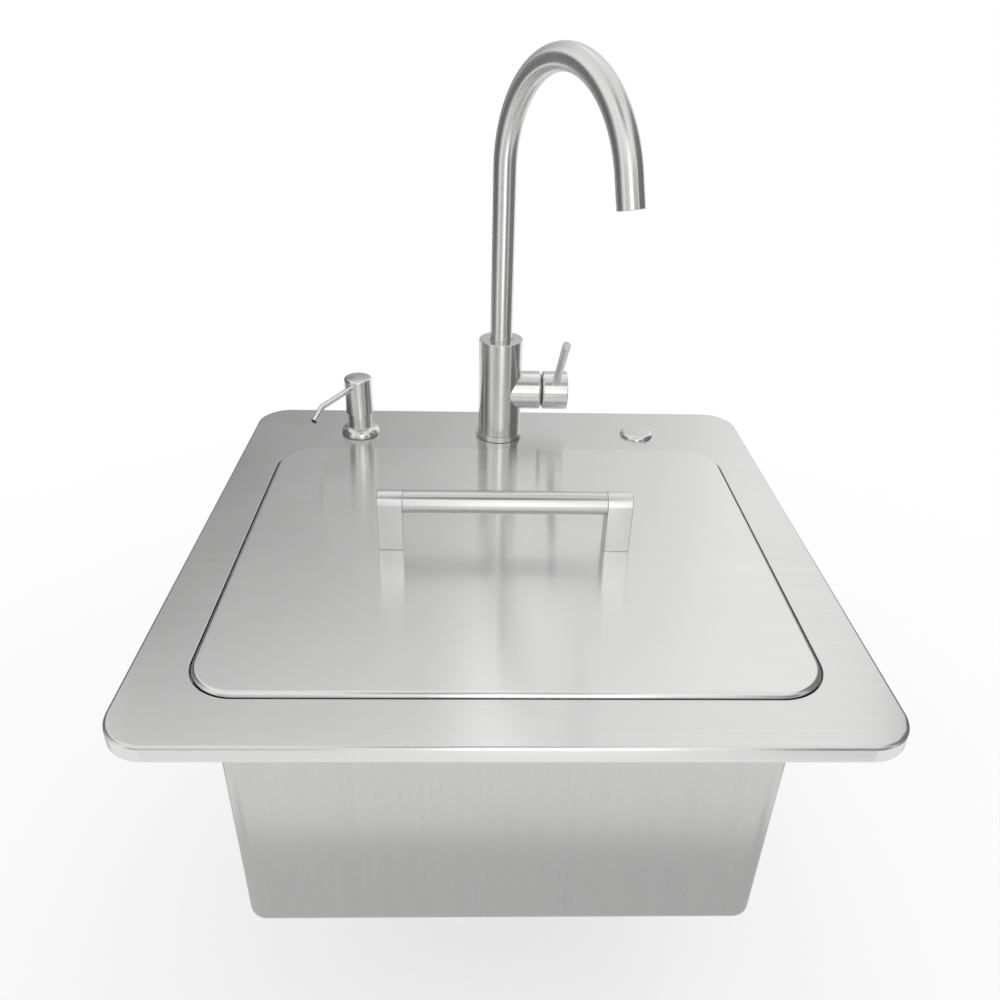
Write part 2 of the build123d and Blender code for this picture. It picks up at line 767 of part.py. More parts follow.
# Tap body: an upright barrel with a side branch, bored for the spout and for the cartridge
with BuildPart() as tap_body:
    with BuildSketch(Plane.XY.offset(barrel_bottom)):
        with Locations((tap_x, hole_row_y)):
            Circle(barrel_radius)
    extrude(amount=barrel_top - barrel_bottom)
    chamfer(tap_body.edges().filter_by(GeomType.CIRCLE), edge_break)
    with BuildSketch(branch_cross):
        Circle(branch_radius)
    extrude(amount=seam_x)
    chamfer(tap_body.faces().sort_by(Axis.X)[-1].edges(), groove_depth)
    # Spout socket, spigot bore and the passage for mixed water
    mixed_port_z = branch_z + mixed_port_above_axis
    with Locations((tap_x, hole_row_y, barrel_top)):
        CounterBoreHole(
            radius=spigot_bore_radius,
            counter_bore_radius=socket_radius,
            counter_bore_depth=barrel_top - socket_floor,
            depth=barrel_top - spigot_bore_floor,
        )
    with Locations((tap_x, hole_row_y, spigot_bore_floor)):
        Hole(mixed_passage_radius, depth=spigot_bore_floor - mixed_port_z + port_radius)
    with Locations(Plane(origin=(chamber_floor_x, hole_row_y, mixed_port_z), z_dir=(1, 0, 0))):
        Hole(port_radius, depth=chamber_floor_x)
    # Shank thread, the two threaded inlets and their passages to the cartridge
    inlet_face_z = barrel_bottom + shank_engagement
    inlet_port_z = branch_z - port_below_axis
    with Locations(Plane(origin=(tap_x, hole_row_y, barrel_bottom), z_dir=(0, 0, -1))):
        Hole(shank_radius, depth=shank_engagement)
    for side in (-1, 1):
        inlet_y = hole_row_y + side * inlet_spacing / 2
        with Locations(Plane(origin=(tap_x, inlet_y, inlet_face_z), z_dir=(0, 0, -1))):
            CounterBoreHole(
                radius=passage_radius,
                counter_bore_radius=inlet_radius,
                counter_bore_depth=inlet_length,
                depth=inlet_port_z + port_radius - inlet_face_z,
            )
        port_y = hole_row_y + side * port_offset_y
        with Locations(Plane(origin=(chamber_floor_x, port_y, inlet_port_z), z_dir=(1, 0, 0))):
            Hole(port_radius, depth=chamber_floor_x)
    # Cartridge chamber, nut thread and bonnet mouth
    with BuildSketch(branch_section):
        with BuildLine():
            Polyline(
                (chamber_floor_x, 0),
                (chamber_floor_x, chamber_radius),
                (cartridge_end_x, chamber_radius),
                (cartridge_end_x, cartridge_nut_radius),
                (cartridge_nut_x, cartridge_nut_radius),
                (cartridge_nut_x, bonnet_mouth_radius),
                (seam_x, bonnet_mouth_radius),
                (seam_x, 0),
                close=True,
            )
        make_face()
    revolve(axis=branch_axis, mode=Mode.SUBTRACT)
    # Threaded hole at the back for the grub screw that keeps the spout in
    spout_screw_z = (retaining_groove_bottom + retaining_groove_top) / 2
    barrel_back = hole_row_y + barrel_radius
    with Locations(Plane(origin=(tap_x, barrel_back, spout_screw_z), z_dir=(0, 1, 0))):
        Hole(spout_screw_radius, depth=barrel_radius - socket_radius + edge_break)
tap_body.part.label = "tap_body"
export_step(tap_body.part, "parts/tap_body.step")

# Shank: a hollow threaded stud from the barrel down through the deck
with BuildPart() as tap_shank:
    with BuildSketch(Plane.XY.offset(shank_end)):
        with Locations((tap_x, hole_row_y)):
            Circle(shank_radius)
            Circle(shank_bore, mode=Mode.SUBTRACT)
    extrude(amount=inlet_face_z - shank_end)
    chamfer(tap_shank.edges().group_by(Axis.Z)[0], edge_break)
tap_shank.part.label = "tap_shank"
export_step(tap_shank.part, "parts/tap_shank.step")

# Rubber gasket, steel washer and hexagon nut that clamp the tap from below the deck
with BuildPart() as tap_gasket:
    tap_gasket_bottom = deck_underside - tap_gasket_height
    with BuildSketch(Plane.XY.offset(tap_gasket_bottom)):
        with Locations((tap_x, hole_row_y)):
            Circle(tap_gasket_radius)
            Circle(shank_radius, mode=Mode.SUBTRACT)
    extrude(amount=tap_gasket_height)
tap_gasket.part.label = "tap_gasket"
export_step(tap_gasket.part, "parts/tap_gasket.step")

with BuildPart() as tap_washer:
    tap_washer_bottom = tap_gasket_bottom - tap_washer_height
    with BuildSketch(Plane.XY.offset(tap_washer_bottom)):
        with Locations((tap_x, hole_row_y)):
            Circle(tap_gasket_radius)
            Circle(shank_radius, mode=Mode.SUBTRACT)
    extrude(amount=tap_washer_height)
tap_washer.part.label = "tap_washer"
export_step(tap_washer.part, "parts/tap_washer.step")

with BuildPart() as tap_nut:
    with BuildSketch(Plane.XY.offset(tap_washer_bottom - tap_nut_height)):
        with Locations((tap_x, hole_row_y)):
            RegularPolygon(tap_nut_across_flats / 2, 6, major_radius=False)
            Circle(shank_radius, mode=Mode.SUBTRACT)
    extrude(amount=tap_nut_height)
tap_nut.part.label = "tap_nut"
export_step(tap_nut.part, "parts/tap_nut.step")

# Cartridge body: a plastic cup with three ports in its base and a lip that holds the spindle
with BuildPart() as cartridge_body:
    with BuildSketch(branch_section):
        with BuildLine():
            Polyline(
                (chamber_floor_x, 0),
                (chamber_floor_x, cartridge_radius),
                (cartridge_end_x, cartridge_radius),
                (cartridge_end_x, cartridge_lip_radius),
                (cartridge_lip_x, cartridge_lip_radius),
                (cartridge_lip_x, cartridge_cavity_radius),
                (cartridge_base_x, cartridge_cavity_radius),
                (cartridge_base_x, 0),
                close=True,
            )
        make_face()
    revolve(axis=branch_axis)
    with BuildSketch(branch_cross.offset(chamber_floor_x)):
        with Locations((-port_offset_y, -port_below_axis), (port_offset_y, -port_below_axis)):
            Circle(port_radius)
        with Locations((0, mixed_port_above_axis)):
            Circle(port_radius)
    extrude(amount=cartridge_base_x - chamber_floor_x, mode=Mode.SUBTRACT)
cartridge_body.part.label = "cartridge_body"
export_step(cartridge_body.part, "parts/cartridge_body.step")

# Fixed ceramic disc, its ports in line with those of the cartridge base
with BuildPart() as fixed_disc:
    with BuildSketch(branch_cross.offset(cartridge_base_x)):
        Circle(cartridge_cavity_radius)
        with Locations((-port_offset_y, -port_below_axis), (port_offset_y, -port_below_axis)):
            Circle(port_radius, mode=Mode.SUBTRACT)
        with Locations((0, mixed_port_above_axis)):
            Circle(port_radius, mode=Mode.SUBTRACT)
    extrude(amount=fixed_disc_end_x - cartridge_base_x)
fixed_disc.part.label = "fixed_disc"
export_step(fixed_disc.part, "parts/fixed_disc.step")

# Moving ceramic disc: a mixing pocket on its face and a socket for the stem ball in its back
with BuildPart() as moving_disc:
    with BuildSketch(branch_cross.offset(moving_disc_start_x)):
        Circle(disc_radius)
    extrude(amount=moving_disc_end_x - moving_disc_start_x)
    with BuildSketch(branch_cross.offset(moving_disc_start_x)):
        Circle(mixing_pocket_radius)
    extrude(amount=mixing_pocket_depth, mode=Mode.SUBTRACT)
    with BuildSketch(branch_cross.offset(ball_socket_start_x)):
        Circle(ball_socket_radius)
    extrude(amount=moving_disc_end_x - ball_socket_start_x, mode=Mode.SUBTRACT)
moving_disc.part.label = "moving_disc"
export_step(moving_disc.part, "parts/moving_disc.step")

# Spindle: turns in the cartridge with the lever, slotted so that the stem can tilt in it
with BuildPart() as cartridge_spindle:
    with BuildSketch(branch_cross.offset(spindle_start_x)):
        Circle(spindle_radius)
    extrude(amount=spindle_end_x - spindle_start_x)
    tilt = radians(lever_lift)
    half_slot = stem_radius / cos(tilt) + slot_clearance
    inner_swing = (pivot_x - spindle_start_x) * tan(tilt) + half_slot
    outer_swing = (spindle_end_x - pivot_x) * tan(tilt) + half_slot
    with BuildSketch(lever_plane):
        with BuildLine():
            Polyline(
                (spindle_start_x, -half_slot),
                (spindle_start_x, inner_swing),
                (pivot_x, half_slot),
                (spindle_end_x, half_slot),
                (spindle_end_x, -outer_swing),
                (pivot_x, -half_slot),
                close=True,
            )
        make_face()
    extrude(amount=stem_radius + slot_clearance, both=True, mode=Mode.SUBTRACT)
    with BuildSketch(lever_plane):
        with Locations((pivot_x, 0)):
            Circle(stem_pin_radius)
    extrude(amount=stem_pin_length / 2, both=True, mode=Mode.SUBTRACT)
cartridge_spindle.part.label = "cartridge_spindle"
export_step(cartridge_spindle.part, "parts/cartridge_spindle.step")

# Pin across the spindle that the stem tilts on
with BuildPart() as stem_pin:
    with BuildSketch(lever_plane):
        with Locations((pivot_x, 0)):
            Circle(stem_pin_radius)
    extrude(amount=stem_pin_length / 2, both=True)
stem_pin.part.label = "stem_pin"
export_step(stem_pin.part, "parts/stem_pin.step")

# Stem: a ball that pushes the moving disc, a round shaft on the pin and a square tang in the cap
with BuildPart() as cartridge_stem:
    neck_x = stem_ball_x + sqrt(stem_ball_radius**2 - stem_neck_radius**2)
    with BuildSketch(branch_section):
        with BuildLine():
            ThreePointArc(
                (stem_ball_x - stem_ball_radius, 0),
                (stem_ball_x, stem_ball_radius),
                (neck_x, stem_neck_radius),
            )
            Polyline(
                (neck_x, stem_neck_radius),
                (stem_shoulder_x, stem_neck_radius),
                (stem_shoulder_x, stem_radius),
                (tang_start_x, stem_radius),
                (tang_start_x, 0),
                (stem_ball_x - stem_ball_radius, 0),
            )
        make_face()
    revolve(axis=branch_axis)
    with BuildSketch(lever_cross.offset(tang_start_x)):
        Rectangle(tang_width, tang_width)
    extrude(amount=stem_end_x - tang_start_x)
    with BuildSketch(lever_plane):
        with Locations((pivot_x, 0)):
            Circle(stem_pin_radius + pin_clearance)
    extrude(amount=stem_radius, both=True, mode=Mode.SUBTRACT)
cartridge_stem.part.label = "cartridge_stem"
export_step(cartridge_stem.part, "parts/cartridge_stem.step")

# Ring nut that holds the cartridge in the branch, notched for a pin spanner
with BuildPart() as cartridge_nut:
    with BuildSketch(branch_cross.offset(cartridge_end_x)):
        Circle(cartridge_nut_radius)
        Circle(cartridge_nut_bore, mode=Mode.SUBTRACT)
    extrude(amount=cartridge_nut_x - cartridge_end_x)
    with BuildSketch(branch_cross.offset(cartridge_nut_x)):
        with PolarLocations((cartridge_nut_radius + cartridge_nut_bore) / 2, nut_notches):
            Rectangle(cartridge_nut_radius, nut_notch_width)
    extrude(amount=-(cartridge_nut_x - cartridge_end_x) / 2, mode=Mode.SUBTRACT)
cartridge_nut.part.label = "cartridge_nut"
export_step(cartridge_nut.part, "parts/cartridge_nut.step")

# Bonnet: a spherical cover about the pivot, so the cap clears it at every tilt
with BuildPart() as bonnet:
    bonnet_base = sqrt(bonnet_sphere**2 - (seam_x - pivot_x) ** 2)
    base_angle = degrees(asin(bonnet_base / bonnet_sphere))
    opening_angle = degrees(asin(bonnet_opening / bonnet_sphere))
    with BuildSketch(branch_section):
        with BuildLine():
            dome = CenterArc(
                (pivot_x, 0), bonnet_sphere, opening_angle, base_angle - opening_angle
            )
            Polyline(
                (seam_x, bonnet_base),
                (seam_x, bonnet_mouth_radius),
                (bonnet_skirt_x, bonnet_mouth_radius),
                (bonnet_skirt_x, bonnet_mouth_radius - bonnet_wall),
                (
                    pivot_x + (bonnet_sphere - bonnet_wall) * cos(radians(opening_angle)),
                    (bonnet_sphere - bonnet_wall) * sin(radians(opening_angle)),
                ),
                (pivot_x + bonnet_sphere * cos(radians(opening_angle)), bonnet_opening),
            )
        make_face()
    revolve(axis=branch_axis)
bonnet.part.label = "bonnet"
export_step(bonnet.part, "parts/bonnet.step")

# Lever cap: the end of the branch, hollowed to a sphere over the bonnet
with BuildPart() as lever_cap:
    cap_rim = sqrt(cap_sphere**2 - (cap_start_x - pivot_x) ** 2)
    cap_rim_angle = degrees(asin(cap_rim / cap_sphere))
    with BuildSketch(branch_section):
        with BuildLine():
            CenterArc((pivot_x, 0), cap_sphere, 0, cap_rim_angle)
            Polyline(
                (cap_start_x, cap_rim),
                (cap_start_x + branch_radius - cap_rim, branch_radius),
                (cap_end_x - cap_edge, branch_radius),
                (cap_end_x, branch_radius - cap_edge),
                (cap_end_x, 0),
                (pivot_x + cap_sphere, 0),
            )
        make_face()
    revolve(axis=branch_axis)
    with BuildSketch(lever_cross.offset(tang_start_x)):
        Rectangle(tang_width, tang_width)
    extrude(amount=stem_end_x - tang_start_x, mode=Mode.SUBTRACT)
    with BuildSketch(rod_plane.offset(rod_spigot_start)):
        Circle(rod_spigot_radius)
    extrude(amount=branch_radius, mode=Mode.SUBTRACT)
    with BuildSketch(lever_screw_plane.offset(tang_width / 2)):
        Circle(lever_screw_radius)
    extrude(amount=branch_radius, mode=Mode.SUBTRACT)
lever_cap.part.label = "lever_cap"
export_step(lever_cap.part, "parts/lever_cap.step")

# Lever rod: a plain pin, saddle-cut to the cap and screwed into it by a thinner spigot
with BuildPart() as lever_rod:
    with BuildSketch(rod_plane.offset(branch_radius - rod_radius)):
        Circle(rod_radius)
    extrude(amount=rod_length + rod_radius)
    chamfer(lever_rod.faces().sort_by(Axis.Z)[-1].edges(), rod_end_edge)
    with BuildSketch(branch_cross.offset(cap_start_x)):
        Circle(branch_radius)
    extrude(amount=cap_end_x - cap_start_x, mode=Mode.SUBTRACT)
    with BuildSketch(rod_plane.offset(rod_spigot_start)):
        Circle(rod_spigot_radius)
    extrude(amount=branch_radius - rod_spigot_start + rod_radius)
lever_rod.part.label = "lever_rod"
export_step(lever_rod.part, "parts/lever_rod.step")

# Grub screw under the cap that locks it on the stem
with BuildPart() as lever_screw:
    with BuildSketch(lever_screw_plane.offset(tang_width / 2)):
        Circle(lever_screw_radius)
    extrude(amount=lever_screw_outer - tang_width / 2)
    with BuildSketch(lever_screw_plane.offset(lever_screw_outer)):
        RegularPolygon(lever_screw_socket, 6)
    extrude(amount=-lever_screw_radius, mode=Mode.SUBTRACT)
lever_screw.part.label = "lever_screw"
export_step(lever_screw.part, "parts/lever_screw.step")

# Spout: one bent tube, up from the barrel, over in a wide bend and a short way down
with BuildPart() as spout_tube:
    with BuildLine(spout_plane) as spout_path:
        riser = Line((0, foot_shoulder_top), (0, spout_bend_z))
        bend = CenterArc(
            (spout_bend_radius, spout_bend_z), spout_bend_radius, 180, -spout_bend_angle
        )
        Line(bend @ 1, bend @ 1 + spout_straight * (bend % 1))
    with BuildSketch(Plane.XY.offset(foot_shoulder_top)):
        with Locations((tap_x, hole_row_y)):
            Circle(spout_radius)
            Circle(spout_radius - spout_wall, mode=Mode.SUBTRACT)
    sweep(path=spout_path.line)
    spout_end = Plane(origin=bend @ 1 + spout_straight * (bend % 1), z_dir=bend % 1)
spout_tube.part.label = "spout_tube"
export_step(spout_tube.part, "parts/spout_tube.step")

# Spout foot: a turned sleeve brazed into the tube, grooved for ring, screw and seals
with BuildPart() as spout_foot:
    sleeve_radius = spout_radius - spout_wall
    with BuildSketch(tap_section):
        with BuildLine():
            Polyline(
                (foot_bore, spigot_bore_floor + foot_gap),
                (foot_spigot_radius, spigot_bore_floor + foot_gap),
                (foot_spigot_radius, socket_floor + foot_gap),
                (spout_radius, socket_floor + foot_gap),
                (spout_radius, retaining_groove_bottom),
                (retaining_groove_radius, retaining_groove_bottom),
                (retaining_groove_radius, retaining_groove_top),
                (spout_radius, retaining_groove_top),
                (spout_radius, slide_ring_bottom),
                (slide_ring_inner, slide_ring_bottom),
                (slide_ring_inner, slide_ring_top),
                (spout_radius, slide_ring_top),
                (spout_radius, foot_shoulder_top),
                (sleeve_radius, foot_shoulder_top),
                (sleeve_radius, foot_sleeve_top),
                (foot_bore, foot_sleeve_top),
                close=True,
            )
        make_face()
    revolve(axis=tap_axis)
    with BuildSketch(tap_section):
        for ring_z in o_ring_heights:
            with Locations((o_ring_groove_radius, ring_z)):
                Rectangle(
                    foot_spigot_radius, o_ring_groove_height, align=(Align.MIN, Align.CENTER)
                )
    revolve(axis=tap_axis, mode=Mode.SUBTRACT)
spout_foot.part.label = "spout_foot"
export_step(spout_foot.part, "parts/spout_foot.step")

# Two rubber O-rings on the foot
with BuildPart() as spout_o_rings:
    with BuildSketch(tap_section):
        for ring_z in o_ring_heights:
            with Locations((o_ring_major, ring_z)):
                RegularPolygon(o_ring_minor, 8)
    revolve(axis=tap_axis)
spout_o_rings.part.label = "spout_o_rings"
export_step(spout_o_rings.part, "parts/spout_o_rings.step")

# Split plastic slide ring that the spout turns on
with BuildPart() as slide_ring:
    with BuildSketch(Plane.XY.offset(slide_ring_bottom)):
        with Locations((tap_x, hole_row_y)):
            Circle(slide_ring_outer)
            Circle(slide_ring_inner, mode=Mode.SUBTRACT)
            Rectangle(
                slide_ring_outer,
                slide_ring_split,
                align=(Align.MIN, Align.CENTER),
                mode=Mode.SUBTRACT,
            )
    extrude(amount=slide_ring_top - slide_ring_bottom)
slide_ring.part.label = "slide_ring"
export_step(slide_ring.part, "parts/slide_ring.step")

# Grub screw at the back of the barrel, its tip in the groove of the foot
with BuildPart() as spout_screw:
    screw_line = Plane(origin=(tap_x, hole_row_y, spout_screw_z), z_dir=(0, 1, 0))
    with BuildSketch(screw_line.offset(socket_radius)):
        Circle(spout_screw_radius)
    extrude(amount=barrel_radius - socket_radius - edge_break)
    with BuildSketch(screw_line.offset(spout_screw_tip)):
        Circle(spout_screw_tip_radius)
    extrude(amount=socket_radius - spout_screw_tip)
    with BuildSketch(screw_line.offset(barrel_radius - edge_break)):
        RegularPolygon(spout_screw_tip_radius, 6)
    extrude(amount=-spout_screw_radius, mode=Mode.SUBTRACT)
spout_screw.part.label = "spout_screw"
export_step(spout_screw.part, "parts/spout_screw.step")

# Aerator, set back inside the end of the spout: a sleeve and a perforated disc
with BuildPart() as aerator_body:
    with BuildSketch(spout_end.offset(-aerator_recess)):
        Circle(spout_radius - spout_wall)
        Circle(aerator_bore, mode=Mode.SUBTRACT)
    extrude(amount=-aerator_length)
aerator_body.part.label = "aerator_body"
export_step(aerator_body.part, "parts/aerator_body.step")

with BuildPart() as aerator_screen:
    with BuildSketch(spout_end.offset(-aerator_recess - aerator_screen_height)):
        Circle(aerator_bore)
        with HexLocations(aerator_hole_pitch / 2, 3, 3):
            RegularPolygon(aerator_hole_radius, 6, mode=Mode.SUBTRACT)
    extrude(amount=-aerator_screen_height)
aerator_screen.part.label = "aerator_screen"
export_step(aerator_screen.part, "parts/aerator_screen.step")

# Dispenser collar: a domed flange on the deck, a neck above it and a threaded shank below
with BuildPart() as soap_collar:
    flange_edge_z = rim_height + collar_flange_edge
    with BuildSketch(soap_section):
        with BuildLine():
            Polyline(
                (collar_neck_radius, collar_dome_top),
                (collar_neck_radius, collar_top),
                (collar_bore, collar_top),
                (collar_bore, collar_shank_end),
                (collar_shank_radius, collar_shank_end),
                (collar_shank_radius, rim_height),
                (collar_flange_radius, rim_height),
                (collar_flange_radius, flange_edge_z),
            )
            RadiusArc(
                (collar_flange_radius, flange_edge_z),
                (collar_neck_radius, collar_dome_top),
                -collar_dome_radius,
            )
        make_face()
    revolve(axis=soap_axis)
soap_collar.part.label = "soap_collar"
export_step(soap_collar.part, "parts/soap_collar.step")

# Rubber washer and plastic nut that clamp the collar from below the deck
with BuildPart() as soap_washer:
    soap_washer_bottom = deck_underside - soap_washer_height
    with BuildSketch(Plane.XY.offset(soap_washer_bottom)):
        with Locations((soap_x, hole_row_y)):
            Circle(soap_washer_radius)
            Circle(collar_shank_radius, mode=Mode.SUBTRACT)
    extrude(amount=soap_washer_height)
soap_washer.part.label = "soap_washer"
export_step(soap_washer.part, "parts/soap_washer.step")

with BuildPart() as soap_nut:
    with BuildSketch(Plane.XY.offset(soap_washer_bottom - soap_nut_height)):
        with Locations((soap_x, hole_row_y)):
            Circle(soap_nut_radius)
            with PolarLocations(soap_nut_radius, soap_nut_grips):
                Circle(soap_nut_grip_radius, mode=Mode.SUBTRACT)
            Circle(collar_shank_radius, mode=Mode.SUBTRACT)
    extrude(amount=soap_nut_height)
soap_nut.part.label = "soap_nut"
export_step(soap_nut.part, "parts/soap_nut.step")

# Soap bottle: a blown shell that screws on the collar shank from below
with BuildPart() as soap_bottle:
    with BuildSketch(soap_section):
        with BuildLine():
            Polyline(
                (0, bottle_neck_top),
                (bottle_neck_radius, bottle_neck_top),
                (bottle_neck_radius, bottle_shoulder_top),
            )
            TangentArc(
                (bottle_radius, bottle_shoulder_bottom),
                (bottle_neck_radius, bottle_shoulder_top),
                tangent=(0, 1),
            )
            Polyline(
                (bottle_radius, bottle_shoulder_bottom),
                (bottle_radius, bottle_bottom),
                (0, bottle_bottom),
                (0, bottle_neck_top),
            )
        make_face()
    revolve(axis=soap_axis)
    fillet(soap_bottle.edges().group_by(Axis.Z)[0], bottle_heel)
    offset(amount=-bottle_wall, openings=soap_bottle.faces().sort_by(Axis.Z)[-1])
soap_bottle.part.label = "soap_bottle"
export_step(soap_bottle.part, "parts/soap_bottle.step")

# Pump barrel: hangs in the collar by its flange, with the check valve seat at its foot
with BuildPart() as pump_barrel:
    with BuildSketch(soap_section):
        with BuildLine():
            Polyline(
                (pump_guide_radius, collar_top + pump_flange_height),
                (pump_flange_radius, collar_top + pump_flange_height),
                (pump_flange_radius, collar_top),
                (pump_barrel_radius, collar_top),
                (pump_barrel_radius, pump_barrel_bottom),
                (pump_tail_radius, pump_barrel_bottom),
                (pump_tail_radius, pump_tail_end),
                (valve_seat_radius, pump_tail_end),
                (valve_seat_radius, valve_seat_z),
                (valve_chamber_radius, valve_seat_z),
                (valve_chamber_radius, pump_bore_bottom),
                (pump_bore, pump_bore_bottom),
                (pump_bore, pump_bore_top),
                (pump_guide_radius, pump_bore_top),
                close=True,
            )
        make_face()
    revolve(axis=soap_axis)
pump_barrel.part.label = "pump_barrel"
export_step(pump_barrel.part, "parts/pump_barrel.step")

# Check ball, resting on the rim of the valve seat
with BuildPart() as check_ball:
    ball_lift = sqrt(check_ball_radius**2 - valve_seat_radius**2)
    with Locations((soap_x, hole_row_y, valve_seat_z + ball_lift)):
        Sphere(check_ball_radius)
check_ball.part.label = "check_ball"
export_step(check_ball.part, "parts/check_ball.step")

# Dip tube, pushed over the tail of the pump barrel
with BuildPart() as dip_tube:
    with BuildSketch(Plane.XY.offset(dip_tube_end)):
        with Locations((soap_x, hole_row_y)):
            Circle(dip_tube_radius)
            Circle(pump_tail_radius, mode=Mode.SUBTRACT)
    extrude(amount=dip_tube_top - dip_tube_end)
dip_tube.part.label = "dip_tube"
export_step(dip_tube.part, "parts/dip_tube.step")

# Pump piston on its hollow rod
with BuildPart() as pump_piston:
    with BuildSketch(soap_section):
        with BuildLine():
            Polyline(
                (piston_channel, piston_bottom),
                (piston_radius, piston_bottom),
                (piston_radius, piston_bottom + piston_height),
                (piston_rod_radius, piston_bottom + piston_height),
                (piston_rod_radius, piston_rod_top),
                (piston_channel, piston_rod_top),
                close=True,
            )
        make_face()
    revolve(axis=soap_axis)
pump_piston.part.label = "pump_piston"
export_step(pump_piston.part, "parts/pump_piston.step")

# Return spring under the piston
with BuildPart() as pump_spring:
    spring_height = piston_bottom - pump_bore_bottom - 2 * spring_wire
    with BuildLine() as spring_line:
        spring_helix = Helix(
            pitch=spring_height / spring_turns,
            height=spring_height,
            radius=spring_radius,
            center=(soap_x, hole_row_y, pump_bore_bottom + spring_wire),
        )
    with BuildSketch(Plane(origin=spring_helix @ 0, z_dir=spring_helix % 0)):
        RegularPolygon(spring_wire, 6)
    sweep(path=spring_line.line, is_frenet=True)
pump_spring.part.label = "pump_spring"
export_step(pump_spring.part, "parts/pump_spring.step")

# Pump head: a crowned cap over the neck, drilled for the rod and the nozzle
with BuildPart() as pump_head:
    crown_edge_z = pump_head_top - pump_head_crown
    with BuildSketch(soap_section):
        with BuildLine():
            Polyline(
                (0, pump_head_top),
                (0, nozzle_z),
                (piston_channel, nozzle_z),
                (piston_channel, piston_rod_top),
                (pump_guide_radius, piston_rod_top),
                (pump_guide_radius, pump_head_ceiling),
                (pump_head_bore, pump_head_ceiling),
                (pump_head_bore, pump_head_bottom),
                (pump_head_radius, pump_head_bottom),
                (pump_head_radius, crown_edge_z - pump_head_edge),
            )
            RadiusArc(
                (pump_head_radius, crown_edge_z - pump_head_edge),
                (pump_head_radius - pump_head_edge, crown_edge_z),
                -pump_head_edge,
            )
            TangentArc(
                (0, pump_head_top),
                (pump_head_radius - pump_head_edge, crown_edge_z),
                tangent=(1, 0),
            )
        make_face()
    revolve(axis=soap_axis)
    with BuildSketch(nozzle_cross.offset(nozzle_start)):
        Circle(nozzle_radius)
    extrude(amount=pump_head_radius, mode=Mode.SUBTRACT)
    with BuildSketch(nozzle_cross.offset(-nozzle_radius)):
        Circle(nozzle_bore)
    extrude(amount=nozzle_start + 2 * nozzle_radius, mode=Mode.SUBTRACT)
pump_head.part.label = "pump_head"
export_step(pump_head.part, "parts/pump_head.step")

# Nozzle: a thin tube out of the head, drooping at its tip
with BuildPart() as pump_nozzle:
    with BuildLine(nozzle_plane) as nozzle_path:
        Line((nozzle_start, nozzle_z), (nozzle_reach, nozzle_z))
        droop = CenterArc(
            (nozzle_reach, nozzle_z - nozzle_bend_radius), nozzle_bend_radius, 90, -nozzle_droop
        )
        Line(droop @ 1, droop @ 1 + nozzle_tip_length * (droop % 1))
    with BuildSketch(nozzle_cross.offset(nozzle_start)):
        Circle(nozzle_radius)
        Circle(nozzle_bore, mode=Mode.SUBTRACT)
    sweep(path=nozzle_path.line)
pump_nozzle.part.label = "pump_nozzle"
export_step(pump_nozzle.part, "parts/pump_nozzle.step")

# Cover of the spare hole, with a stud welded under it
with BuildPart() as hole_cover:
    with BuildSketch(Plane.XY.offset(rim_height)):
        with Locations((cover_x, hole_row_y)):
            Circle(cover_radius)
    extrude(amount=cover_height)
    fillet(hole_cover.edges().group_by(Axis.Z)[-1], cover_edge)
    with BuildSketch(Plane.XY.offset(cover_stud_end)):
        with Locations((cover_x, hole_row_y)):
            Circle(cover_stud_radius)
    extrude(amount=rim_height - cover_stud_end)
    chamfer(hole_cover.edges().group_by(Axis.Z)[0], edge_break)
hole_cover.part.label = "hole_cover"
export_step(hole_cover.part, "parts/hole_cover.step")

# Rubber gasket, steel washer and wing nut that hold the cover from below
with BuildPart() as cover_gasket:
    cover_gasket_bottom = deck_underside - cover_gasket_height
    with BuildSketch(Plane.XY.offset(cover_gasket_bottom)):
        with Locations((cover_x, hole_row_y)):
            Circle(cover_gasket_radius)
            Circle(cover_stud_radius, mode=Mode.SUBTRACT)
    extrude(amount=cover_gasket_height)
cover_gasket.part.label = "cover_gasket"
export_step(cover_gasket.part, "parts/cover_gasket.step")

with BuildPart() as cover_washer:
    cover_washer_bottom = cover_gasket_bottom - cover_washer_height
    with BuildSketch(Plane.XY.offset(cover_washer_bottom)):
        with Locations((cover_x, hole_row_y)):
            Circle(cover_washer_radius)
            Circle(cover_stud_radius, mode=Mode.SUBTRACT)
    extrude(amount=cover_washer_height)
cover_washer.part.label = "cover_washer"
export_step(cover_washer.part, "parts/cover_washer.step")

with BuildPart() as wing_nut:
    wing_nut_bottom = cover_washer_bottom - wing_nut_height
    with BuildSketch(Plane.XY.offset(wing_nut_bottom)):
        with Locations((cover_x, hole_row_y)):
            Circle(wing_nut_radius)
    extrude(amount=wing_nut_height)
    with BuildSketch(cover_section):
        with BuildLine():
            Polyline(
                (cover_stud_radius, wing_nut_bottom + wing_nut_height / 2),
                (wing_span / 2, wing_nut_bottom),
                (wing_span / 2, wing_nut_bottom + wing_nut_height / 2 - wing_height),
                (wing_nut_radius + wing_thickness, wing_nut_bottom - wing_thickness),
                (cover_stud_radius, wing_nut_bottom),
                close=True,
            )
        make_face()
        mirror(about=Plane.YZ)
    extrude(amount=wing_thickness / 2, both=True)
    with Locations((cover_x, hole_row_y, cover_washer_bottom)):
        Hole(cover_stud_radius)
wing_nut.part.label = "wing_nut"
export_step(wing_nut.part, "parts/wing_nut.step")
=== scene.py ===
"""Outdoor drop-in sink, dressed for display.

A folded steel rim and deck, a pressed bowl, a lift-off lid with a bar handle, a side-lever tap on a
swan-neck spout, a soap dispenser, a capped spare hole and the drain under the bowl. Each operator
makes one piece or one group of like pieces around the fixed frame, and the last one sets the stage.
"""

import json
from math import asin, atan2, cos, pi, radians, sin

